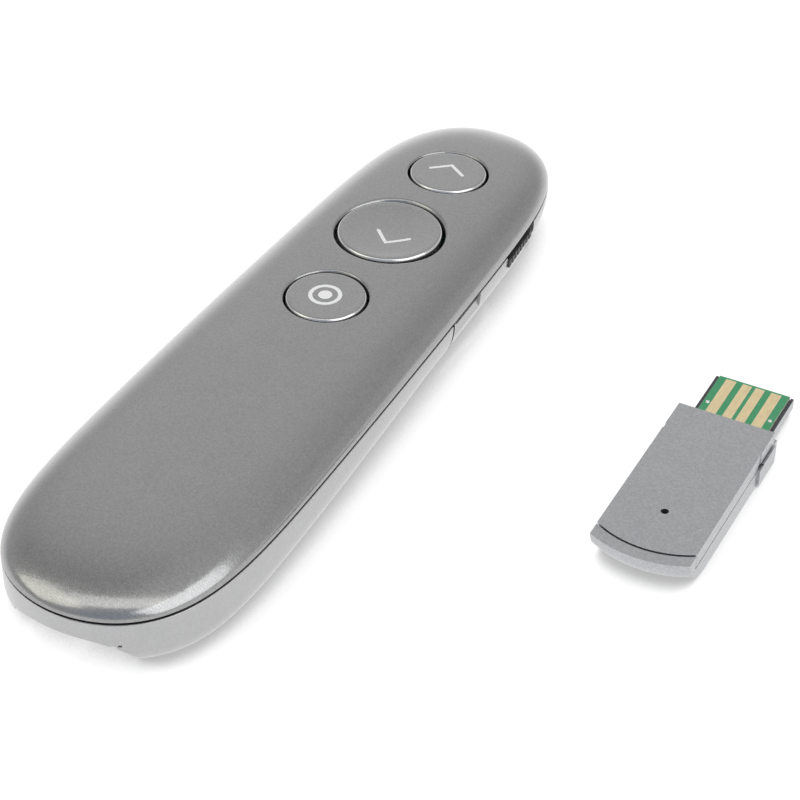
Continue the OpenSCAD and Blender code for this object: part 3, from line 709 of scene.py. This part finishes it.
def make_chevron(name, key, corners):
    """Printed chevron: a thin film along two straight strokes with round ends."""
    a, b, c = (np.array(p) for p in corners)
    first, second = (b - a) / np.linalg.norm(b - a), (c - b) / np.linalg.norm(c - b)
    turn_left = np.array([[0, -1], [1, 0]])
    mitre = turn_left @ (first + second)
    mitre /= mitre @ (turn_left @ first)
    half = stroke_w / 2
    stations = [(a + first * half * (1 - math.cos(t)), turn_left @ first * math.sin(t))
                for t in np.linspace(0.15, math.pi / 2, 5)]
    stations += [(a + (b - a) * t, turn_left @ first) for t in (0.4, 0.7)]
    stations += [(b, mitre)] + [(b + (c - b) * t, turn_left @ second) for t in (0.3, 0.6)]
    stations += [(c - second * half * (1 - math.cos(t)), turn_left @ second * math.sin(t))
                 for t in np.linspace(math.pi / 2, 0.15, 5)]
    rings = []
    for middle, side in stations:
        ring = []
        for across, up in ((1, -root), (1, film), (0, film), (-1, film), (-1, -root), (0, -root)):
            p = middle + side * half * across
            ring.append((*p, up - face_depth(key, np.hypot(*p))))
        rings.append(np.array(ring))
    points, faces = loft(rings)
    last = len(points)
    faces += [list(range(6)), list(range(last - 6, last))]
    mesh = make_mesh(name, points, faces)
    mesh.transform(seat_in_metres(key_seat(key)))
    return mesh


def make_target(name, key, centre):
    """Printed ring with a dot in it."""
    inner, outer, dot_r = 1.87, 2.47, 1.03
    a = np.arange(96) * 2 * math.pi / 96
    circle = np.column_stack([np.cos(a), np.sin(a)])
    corners = [(inner, -root), (inner, film), (outer, film), (outer, -root), (inner, -root)]
    ring = loft([level(circle * r + centre, z) for r, z in corners])
    dot = turned([(0, film), (dot_r, film), (dot_r, -root), (0, -root)], 64)
    dot = (dot[0] + (*centre, 0), dot[1])
    mesh = make_mesh(name, *join_skins([ring, dot]))
    mesh.transform(seat_in_metres(key_seat(key)))
    return mesh


# ---------- receiver, in its own frame: its plug points to +y ----------

rx_half, rx_high, rx_split, rx_rim_h = 7.3, 5.36, 2.93, 5.2
rx_tail, rx_front, rx_cover_front, rx_tip = -22.07, 12.45, 11.05, 22.75
rx_arc_r, rx_rim, rx_belly, rx_round_end = 16.3, 2, 6, -11.95
rx_arc_y, rx_hole_y, rx_cave_y, plug_back = rx_tail + rx_arc_r, -11.65, -15.45, 8.55
lug_y, lug_h, lug_out, lug_slit = 4.95, 3.05, 0.35, 0.25
plug_half, plug_z, plug_lip, board_top, board_half = 6.05, 0.9, 2.5, 2.82, 5.45
# Half width of the hollow for the board, the walls round it, and the notches over the lugs
cave_half, rx_wall, notch_in, notch_y, notch_len = 6.5, 0.8, 7.18, 5, 0.9
# Pinhole over the indicator, inside of the tray, and the board's rear, thickness and holes
pinhole_r, tray_in, tray_floor, board_rear, board_t, via_r = 0.55, 5.55, 2, -14.95, 0.8, 0.3
pad_places = ((-3.5, 0.8), (-1, 0.72), (1, 0.72), (3.5, 0.8))
via_places = ((-4.8, rx_tip - 6.6), (4.8, rx_tip - 6.6))
rx_place = Matrix.Translation((0.0584, 0.0082, 0)) @ Matrix.Rotation(math.radians(1.25), 4, "Z")


def lay_receiver(name, mesh, finishes, slot, *stands_for):
    mesh.transform(rx_place)
    add_piece(name, mesh, finishes, "receiver", slot, *stands_for)


def beside(inner, outer, near, far, low, high):
    """Pair of blocks, one on each side, from the inner to the outer distance off the axis."""
    return [block((min(s * inner, s * outer), near, low), (max(s * inner, s * outer), far, high))
            for s in (-1, 1)]


def make_rx_cover():
    r, front, low = rx_arc_r - rx_rim - 0.22, rx_cover_front, rx_split + 0.14
    reach = math.asin(rx_half / r)
    arc = [(r * math.sin(a), rx_arc_y - r * math.cos(a)) for a in np.linspace(-reach, reach, 49)]
    plan = np.array([*arc, (rx_half, front), (-rx_half, front)])
    notches = beside(notch_in, 8, notch_y, notch_y + notch_len, lug_h, 6)
    over_lugs = beside(6.4, 8, lug_y - 0.02, 12, 0, lug_h + lug_slit)
    cave = block((-cave_half, rx_cave_y - 1.5, 1), (cave_half, front - rx_wall, 4.5))
    cuts = [*notches, *over_lugs, cave, post(0, rx_hole_y, pinhole_r, 2, 6, 32)]
    body = make_mesh("rx_body", *prism(plan, low, rx_high))
    return break_edges(carve(body, ("DIFFERENCE", cuts)), 0.07)


def make_rx_base():
    curve = [(rx_arc_r - rx_belly * (1 - math.sin(a)), rx_belly * (1 - math.cos(a)))
             for a in np.linspace(0, math.pi / 2, 17)]
    centre = Matrix.Translation((0, rx_arc_y, 0))
    tail = turned([(0, 0), *curve, (rx_arc_r, 8), (0, 8)], 256, centre)
    out = rx_half + lug_out
    solid = [block((-rx_half, rx_round_end - 0.01, 0), (rx_half, rx_front, rx_split)),
             block((-out, lug_y, 0), (out, rx_cover_front, lug_h))]
    cuts = [post(0, rx_arc_y, rx_arc_r - rx_rim, rx_split, 9, 192),
            block((-cave_half, rx_cave_y, rx_wall), (cave_half, rx_front - rx_wall, 6)),
            block((-plug_half - 0.1, plug_back, plug_z - 0.05), (plug_half + 0.1, 14, 6))]
    body = carve(make_mesh("rx_body", *tail),
                 ("INTERSECT", [block((-rx_half, -24, -1), (rx_half, rx_round_end, rx_rim_h))]),
                 ("UNION", solid), ("DIFFERENCE", cuts))
    return break_edges(body, 0.07)


def make_rx_tray():
    """Folded channel: bright outside, dark along its lips and inside."""
    body = make_mesh("rx_body", *block((-plug_half, plug_back + 0.1, plug_z),
                                       (plug_half, rx_tip, plug_lip)))
    inside = block((-tray_in, plug_back, tray_floor), (tray_in, rx_tip + 1, 6))
    tray = break_edges(carve(body, ("DIFFERENCE", [inside])), 0.05)
    finish_sides(tray, lambda at, n: abs(n.x) > 0.9 and abs(at.x) > 6 or n.z < -0.9 or n.y > 0.9)
    return tray


def make_rx_board():
    """Bare board with its raw edge, in the receiver and out along the plug."""
    body = make_mesh("rx_body", *block((-board_half, board_rear, board_top - board_t),
                                       (board_half, rx_tip - 0.1, board_top)))
    holes = [post(x, y, via_r, 1, 4, 32) for x, y in via_places]
    board = break_edges(carve(body, ("DIFFERENCE", holes)), 0.03)
    finish_sides(board, lambda at, n: abs(n.z) < 0.8)
    return board


def make_rx_pads():
    pads = [block((x - half, rx_front - 2, board_top), (x + half, rx_tip - 0.5, board_top + 0.05))
            for x, half in pad_places]
    return break_edges(make_mesh("rx_pads", *join_skins(pads)), 0.015)


def make_rx_tin():
    """Solder that fills the two plated holes."""
    profile = [(0, 0.06), (0.12, 0.055), (0.22, 0.035), (0.29, -0.01), (0.29, -0.7), (0, -0.7)]
    drops = [turned(profile, 32, Matrix.Translation((x, y, board_top))) for x, y in via_places]
    return make_mesh("rx_tin", *join_skins(drops), crease=50)


# ---------- finishes ----------

def put(tree, kind, sockets=None, **settings):
    """New shader node: its settings, then its sockets, each a value or a link."""
    node = tree.nodes.new("ShaderNode" + kind)
    for k, v in settings.items():
        setattr(node, k, v)
    for k, v in (sockets or {}).items():
        if isinstance(v, bpy.types.NodeSocket):
            tree.links.new(v, node.inputs[k])
        else:
            node.inputs[k].default_value = v
    return node


def calc(tree, operation, a, b=0.0, c=0.0, clamp=False):
    node = put(tree, "Math", {0: a, 1: b, 2: c}, operation=operation, use_clamp=clamp)
    return node.outputs[0]


def vector(tree, operation, a, b=(0, 0, 0), out=0):
    return put(tree, "VectorMath", {0: a, 1: b}, operation=operation).outputs[out]


def scale_up(tree, v, by):
    return put(tree, "VectorMath", {0: v, "Scale": by}, operation="SCALE").outputs[0]


def blend(tree, share, a, b):
    return put(tree, "Mix", {0: share, 6: a, 7: b}, data_type="RGBA").outputs[2]


def object_place(tree):
    return put(tree, "TexCoord").outputs["Object"]


def noise(tree, at, scale, detail, distortion=0.0):
    sockets = {"Vector": at, "Scale": scale, "Detail": detail, "Distortion": distortion}
    return put(tree, "TexNoise", sockets).outputs[0]


def effect(name, takes, gives):
    """Empty effect group: its tree, its input sockets by name, and a call that wires an output."""
    tree = bpy.data.node_groups.new(name, "ShaderNodeTree")
    kinds = {"c": "NodeSocketColor", "f": "NodeSocketFloat", "v": "NodeSocketVector"}
    for label, kind, value in takes:
        socket = tree.interface.new_socket(label, in_out="INPUT", socket_type=kinds[kind])
        socket.default_value = value
    for label, kind in gives:
        tree.interface.new_socket(label, in_out="OUTPUT", socket_type=kinds[kind])
    start, end = tree.nodes.new("NodeGroupInput"), tree.nodes.new("NodeGroupOutput")
    return tree, start.outputs, lambda label, v: tree.links.new(v, end.inputs[label])


def place(tree, group, sockets):
    """Effect group in a material, with that material's own values."""
    return put(tree, "Group", sockets, node_tree=group).outputs


def grey(v):
    return (v, v, v, 1)


def make_flake_effect():
    """Metal flake in a lacquer: each flake has its own tone and tilt."""
    tree, take, give = effect("metal_flake", [
        ("Color", "c", grey(0.5)), ("Flake Size", "f", 0.0002), ("Contrast", "f", 0.2),
        ("Tilt", "f", 0.1), ("Cloud", "f", 0.05)], [("Color", "c"), ("Normal", "v")])
    at = object_place(tree)
    fine = calc(tree, "DIVIDE", 1.0, take["Flake Size"])
    cells = put(tree, "TexVoronoi", {"Vector": at, "Scale": fine})
    spread = vector(tree, "SUBTRACT", cells.outputs["Color"], (0.5, 0.5, 0.5))
    tone = put(tree, "SeparateXYZ", {0: spread}).outputs[0]
    cloud = calc(tree, "SUBTRACT", noise(tree, at, 260.0, 3.0), 0.5)
    lift = calc(tree, "MULTIPLY", tone, take["Contrast"])
    lift = calc(tree, "MULTIPLY_ADD", cloud, take["Cloud"], lift)
    give("Color", scale_up(tree, take["Color"], calc(tree, "ADD", lift, 1.0)))
    straight = put(tree, "NewGeometry").outputs["Normal"]
    tilted = vector(tree, "ADD", straight, scale_up(tree, spread, take["Tilt"]))
    give("Normal", vector(tree, "NORMALIZE", tilted))
    return tree


def make_grain_effect():
    """Fine moulded or blasted grain: a height and an uneven roughness."""
    tree, take, give = effect("fine_grain", [
        ("Size", "f", 0.0003), ("Roughness", "f", 0.4), ("Spread", "f", 0.1)],
        [("Height", "f"), ("Roughness", "f")])
    at = object_place(tree)
    grain = noise(tree, at, calc(tree, "DIVIDE", 1.0, take["Size"]), 2.0)
    both = calc(tree, "MULTIPLY_ADD", noise(tree, at, 300.0, 3.0), 0.6, grain)
    offset = calc(tree, "SUBTRACT", both, 0.8)
    give("Height", grain)
    give("Roughness", calc(tree, "MULTIPLY_ADD", offset, take["Spread"], take["Roughness"], True))
    return tree


def make_edge_effect():
    """Edges that handling has rubbed: the rubbed colour over the plain one."""
    tree, take, give = effect("edge_rub", [
        ("Color", "c", grey(0.5)), ("Rubbed Color", "c", grey(0.8)), ("Reach", "f", 0.0002),
        ("Amount", "f", 0.5)], [("Color", "c")])
    round_off = put(tree, "Bevel", {"Radius": take["Reach"]}, samples=4)
    straight = put(tree, "NewGeometry").outputs["Normal"]
    turn = vector(tree, "DOT_PRODUCT", round_off.outputs[0], straight, out=1)
    edge = calc(tree, "SUBTRACT", 1.0, turn)
    patchy = noise(tree, object_place(tree), 1500.0, 3.0)
    mask = calc(tree, "MULTIPLY", calc(tree, "MULTIPLY", edge, 5.0, clamp=True), patchy)
    mask = calc(tree, "MULTIPLY", mask, take["Amount"], clamp=True)
    give("Color", blend(tree, mask, take["Color"], take["Rubbed Color"]))
    return tree


def make_dust_effect():
    """Faint dust and finger marks: a colour and a roughness."""
    tree, take, give = effect("light_dust", [
        ("Color", "c", grey(0.5)), ("Dust Color", "c", grey(0.7)), ("Roughness", "f", 0.4),
        ("Amount", "f", 0.1)], [("Color", "c"), ("Roughness", "f")])
    at = object_place(tree)
    marks, specks = noise(tree, at, 130.0, 4.0, 0.6), noise(tree, at, 2600.0, 1.0)
    high = calc(tree, "MULTIPLY", calc(tree, "SUBTRACT", specks, 0.68), 6.0, clamp=True)
    soft = calc(tree, "MULTIPLY", calc(tree, "SUBTRACT", marks, 0.45), 2.0, clamp=True)
    mask = calc(tree, "MULTIPLY", calc(tree, "MULTIPLY_ADD", soft, 0.35, high), take["Amount"])
    give("Color", blend(tree, mask, take["Color"], take["Dust Color"]))
    give("Roughness", calc(tree, "MULTIPLY_ADD", mask, 0.5, take["Roughness"], True))
    return tree


def make_streak_effect():
    """Drawn or brushed metal: streaks along one axis, as a tone and a height."""
    tree, take, give = effect("drawn_streaks", [
        ("Color", "c", grey(0.5)), ("Spacing", "v", (3000, 200, 3000)), ("Contrast", "f", 0.3)],
        [("Color", "c"), ("Height", "f")])
    streaks = noise(tree, vector(tree, "MULTIPLY", object_place(tree), take["Spacing"]), 1.0, 3.0)
    tone = calc(tree, "SUBTRACT", streaks, 0.5)
    lift = calc(tree, "MULTIPLY_ADD", tone, take["Contrast"], 1.0)
    give("Color", scale_up(tree, take["Color"], lift))
    give("Height", streaks)
    return tree


FLAKE, GRAIN, EDGE = make_flake_effect(), make_grain_effect(), make_edge_effect()
DUST, STREAKS = make_dust_effect(), make_streak_effect()
FINISH = {}


def new_finish(name, **uniform):
    """Nodes of a new finish with one Principled shader; uniform values go on its sockets."""
    mat = bpy.data.materials.new(name)
    mat.use_nodes = True
    FINISH[name] = mat
    for k, v in uniform.items():
        mat.node_tree.nodes["Principled BSDF"].inputs[k.replace("_", " ")].default_value = v
    return mat.node_tree


def dusted(tree, colour, rough, amount, normal=None):
    """Feeds a finish's shader, with dust over its colour and its roughness."""
    shader = tree.nodes["Principled BSDF"].inputs
    marks = place(tree, DUST, {"Color": colour, "Roughness": rough, "Amount": amount})
    tree.links.new(marks["Color"], shader["Base Color"])
    tree.links.new(marks["Roughness"], shader["Roughness"])
    if normal is not None:
        tree.links.new(normal, shader["Normal"])


def bumped(tree, height, strength, distance):
    sockets = {"Height": height, "Strength": strength, "Distance": distance}
    return put(tree, "Bump", sockets).outputs[0]


def lacquer(name, colour, metallic, rough, coat, flake, contrast, tilt, dust):
    """Metallic paint under clear lacquer: the size, contrast and tilt are its flakes'."""
    tree = new_finish(name, Metallic=metallic, Coat_Weight=coat, Coat_Roughness=0.05)
    flakes = place(tree, FLAKE, {"Color": colour, "Flake Size": flake, "Contrast": contrast,
                                 "Tilt": tilt, "Cloud": 0.08})
    dusted(tree, flakes["Color"], rough, dust, flakes["Normal"])


def moulded(name, colour, rough, size=0.00025, relief=0.00001, rub=0.4, rubbed=grey(0.5)):
    """Textured plastic with lightly rubbed edges."""
    tree = new_finish(name)
    grain = place(tree, GRAIN, {"Size": size, "Roughness": rough, "Spread": 0.25})
    edge = place(tree, EDGE, {"Color": colour, "Rubbed Color": rubbed, "Amount": rub})
    bumps = bumped(tree, grain["Height"], 0.6, relief)
    dusted(tree, edge["Color"], grain["Roughness"], 0.2, bumps)


def drawn_metal(name, colour, rough, spacing, contrast=0.35):
    """Bare or plated metal with drawing streaks and bright edges."""
    tree = new_finish(name, Metallic=1.0)
    lines = place(tree, STREAKS, {"Color": colour, "Spacing": spacing, "Contrast": contrast})
    edge = place(tree, EDGE, {"Color": lines["Color"], "Rubbed Color": grey(0.9), "Amount": 0.8})
    grain = place(tree, GRAIN, {"Size": 0.0004, "Roughness": rough, "Spread": 0.3})
    bumps = bumped(tree, lines["Height"], 0.5, 0.000006)
    dusted(tree, edge["Color"], grain["Roughness"], 0.12, bumps)


def solder_mask(name, mask_colour, track_colour, pitch, relief=0.00002):
    """Circuit board: green mask over copper tracks that just show through."""
    tree = new_finish(name, Coat_Weight=0.6, Coat_Roughness=0.15)
    tracks = put(tree, "TexBrick", {
        "Vector": object_place(tree), "Color1": grey(1), "Color2": grey(1), "Mortar": grey(0),
        "Scale": 1.0, "Mortar Size": pitch * 0.18, "Mortar Smooth": 0.2,
        "Brick Width": pitch * 3.5, "Row Height": pitch}, offset=0.35, squash=0.7,
        squash_frequency=3).outputs["Fac"]
    grain = place(tree, GRAIN, {"Size": 0.0003, "Roughness": 0.32, "Spread": 0.2})
    tinted = blend(tree, tracks, mask_colour, track_colour)
    edge = place(tree, EDGE, {"Color": tinted, "Rubbed Color": (0.55, 0.6, 0.35, 1),
                              "Amount": 0.6})
    bumps = bumped(tree, tracks, 0.4, relief)
    dusted(tree, edge["Color"], grain["Roughness"], 0.15, bumps)


def make_lens_glass(name, colour, rough):
    tree = new_finish(name, Transmission_Weight=0.9, IOR=1.5)
    grain = place(tree, GRAIN, {"Size": 0.0006, "Roughness": rough, "Spread": 0.04})
    dusted(tree, colour, grain["Roughness"], 0.1)


def make_cell_sleeve():
    """Printed sleeve of the cell: dark body with a lighter band round its positive end."""
    tree = new_finish("cell_sleeve", Coat_Weight=0.5, Coat_Roughness=0.12)
    along = put(tree, "SeparateXYZ", {0: object_place(tree)}).outputs[1]
    band = put(tree, "MapRange", {0: along, 1: 0.0145, 2: 0.0147}).outputs[0]
    colour = blend(tree, band, (0.035, 0.045, 0.06, 1), (0.13, 0.14, 0.16, 1))
    grain = place(tree, GRAIN, {"Size": 0.0005, "Roughness": 0.3, "Spread": 0.15})
    edge = place(tree, EDGE, {"Color": colour, "Rubbed Color": grey(0.5), "Amount": 0.5})
    bumps = bumped(tree, grain["Height"], 0.3, 0.00001)
    dusted(tree, edge["Color"], grain["Roughness"], 0.15, bumps)


# Lacquers: metal, roughness and coat; size, contrast and tilt of the flakes; dust
lacquer("top_lacquer", grey(0.33), 0.9, 0.22, 1.0, 0.00018, 0.22, 0.025, 0.03)
lacquer("shell_silver", grey(0.55), 0.65, 0.36, 0.4, 0.00022, 0.1, 0.05, 0.06)
lacquer("button_silver", grey(0.36), 0.85, 0.26, 0.8, 0.00018, 0.2, 0.03, 0.04)
lacquer("cut_edge", grey(0.62), 0.95, 0.18, 0.8, 0.00018, 0.05, 0.01, 0.03)
lacquer("receiver_silver", (0.475, 0.48, 0.495, 1), 0.95, 0.36, 0.1, 0.0002, 0.22, 0.08, 0.12)
moulded("board_edge", (0.72, 0.74, 0.66, 1), 0.6, 0.0001, 0.000006, 0.1)
drawn_metal("tin", grey(0.95), 0.35, (4000, 4000, 4000), 0.2)
moulded("mark_white", grey(0.86), 0.5, 0.0002, 0.000004, 0.1)
moulded("frame_black", grey(0.025), 0.5)
moulded("knob_grey", grey(0.045), 0.42, rub=0.7, rubbed=grey(0.16))
moulded("tray_dark", (0.035, 0.036, 0.045, 1), 0.4, rub=0.8, rubbed=grey(0.3))
moulded("chip_black", grey(0.02), 0.55, 0.00018, rub=0.5, rubbed=grey(0.12))
solder_mask("board_green", (0.02, 0.12, 0.06, 1), (0.05, 0.22, 0.1, 1), 0.0011)
solder_mask("receiver_board_green", (0.008, 0.29, 0.1, 1), (0.01, 0.305, 0.11, 1), 0.0016,
            0.000002)
drawn_metal("switch_metal", grey(0.62), 0.34, (400, 3000, 3000))
drawn_metal("laser_brass", (0.75, 0.55, 0.25, 1), 0.3, (300, 4000, 300))
drawn_metal("contact_nickel", (0.68, 0.66, 0.6, 1), 0.3, (2500, 300, 2500))
drawn_metal("screw_steel", grey(0.45), 0.35, (900, 900, 3500))
drawn_metal("pad_gold", (0.93, 0.77, 0.47, 1), 0.42, (2500, 600, 2500))
make_lens_glass("lens_glass", (0.85, 0.92, 1, 1), 0.05)
make_lens_glass("window_red", (0.35, 0.02, 0.02, 1), 0.08)
make_lens_glass("led_clear", (0.9, 0.9, 0.8, 1), 0.2)
make_cell_sleeve()


# ---------- the solids that keep their own shape ----------

def make_crease_nodes():
    """Modifier nodes that shade a solid smooth except over its sharp edges."""
    tree = bpy.data.node_groups.new("crisp_edges", "GeometryNodeTree")
    for way in ("INPUT", "OUTPUT"):
        tree.interface.new_socket("Geometry", in_out=way, socket_type="NodeSocketGeometry")
    start, end = tree.nodes.new("NodeGroupInput"), tree.nodes.new("NodeGroupOutput")
    faces = tree.nodes.new("GeometryNodeSetShadeSmooth")
    edges = tree.nodes.new("GeometryNodeSetShadeSmooth")
    edges.domain = "EDGE"
    angle = tree.nodes.new("GeometryNodeInputMeshEdgeAngle")
    sharp = tree.nodes.new("FunctionNodeCompare")
    sharp.data_type, sharp.operation = "FLOAT", "GREATER_EQUAL"
    sharp.inputs[1].default_value = math.radians(32)
    tree.links.new(angle.outputs[0], sharp.inputs[0])
    tree.links.new(start.outputs[0], faces.inputs[0])
    tree.links.new(faces.outputs[0], edges.inputs[0])
    edges.inputs["Shade Smooth"].default_value = False
    tree.links.new(sharp.outputs[0], edges.inputs["Selection"])
    tree.links.new(edges.outputs[0], end.inputs[0])
    return tree


# Width of the broken edge, in millimetres, and where it isn't the usual one
usual_edge = 0.08
EDGES = {"power_knob": 0.05, "battery_spring": 0, "laser_lens": 0.02, "laser_window": 0.02,
         "spring_plate": 0.03, "positive_plate": 0.03}


def dress_nodes():
    crease = make_crease_nodes()
    for part in frame["record"]["subparts"]:
        solid = nodes[part["node"]]
        if solid.hide_render:
            continue
        for s in solid.material_slots:
            s.material = FINISH[part["material_slot"]]
        weld = solid.modifiers.new("weld", "WELD")
        weld.merge_threshold = 0.000001
        width = EDGES.get(part["node"], usual_edge)
        if width:
            broken = solid.modifiers.new("broken_edges", "BEVEL")
            broken.width, broken.segments = width * mm, 3
            broken.limit_method, broken.angle_limit = "ANGLE", math.radians(35)
            broken.use_clamp_overlap = True
        shade = solid.modifiers.new("shading", "NODES")
        shade.node_group = crease


# ---------- the scene ----------

place_camera()
bpy.context.scene.view_settings.view_transform = "Standard"
hang_lamp("right_softbox", 97, 40, 0.8, 0.84, 0.72, 1.62, (0.98, 0.99, 1), "gloss")
hang_lamp("left_softbox", -122, 46, 0.8, 0.42, 0.46, 1.2, (1, 0.99, 0.86), "gloss")
hang_lamp("strip_softbox", 176, 80, 0.8, 0.8, 0.26, 1.1, (1, 0.995, 0.95), "gloss")
hang_lamp("shade_softbox", -110, 56, 0.9, 0.6, 0.6, 3.2, (1, 1, 1), "shade")
lay_floor()
set_world(grey(0.56), [(0, -90, 90, 110, grey(1.05)), (-70, 56, 5, 32, grey(0.42)),
                       (28, 64, 4, 26, grey(0.68)), (-29, 37, 8, 32, grey(0.74)),
                       (42, 16, 5, 24, grey(0.66)), (165, 42, 8, 36, (0.46, 0.5, 0.6, 1))])

add_piece("top_casing", make_top_casing(), ["top_lacquer"], "handset", "top_lacquer", "top_shell")
# These two take their finishes from the tub that they are cut from
add_piece("front_casing", make_front_casing(), [], "handset", "shell_silver", "bottom_shell")
add_piece("tail_cover", make_tail_cover(), [], "rear_cover", "shell_silver", "battery_cover")
for name, key in KEYS.items():
    add_piece(name + "_cap", make_cap(name + "_cap", key), ["button_silver", "cut_edge"],
              name + "_key", "button_silver", name + "_button")
marks = [make_chevron("up_mark", KEYS["up"], [(-3.06, -0.64), (-0.37, 1.93), (2.63, -0.14)]),
         make_chevron("down_mark", KEYS["down"], [(-2.15, 0.24), (0.56, -2.34), (3.49, 0.23)]),
         make_target("laser_mark", KEYS["laser"], (-0.2, 0.1))]
for name, mark in zip(KEYS, marks):
    add_piece(name + "_mark", mark, ["mark_white"], name + "_key", "button_silver")

silver, green = "receiver_silver", "receiver_board_green"
lay_receiver("rx_cover", make_rx_cover(), [silver], silver, "receiver_cover")
lay_receiver("rx_base", make_rx_base(), [silver], silver, "receiver_base")
lay_receiver("rx_tray", make_rx_tray(), ["tray_dark", silver], "tray_dark", "plug_tray")
lay_receiver("rx_board", make_rx_board(), [green, "board_edge"], green, "receiver_board")
lay_receiver("rx_pads", make_rx_pads(), ["pad_gold"], "pad_gold", "receiver_pads")
lay_receiver("rx_tin", make_rx_tin(), ["tin"], green)

dress_nodes()
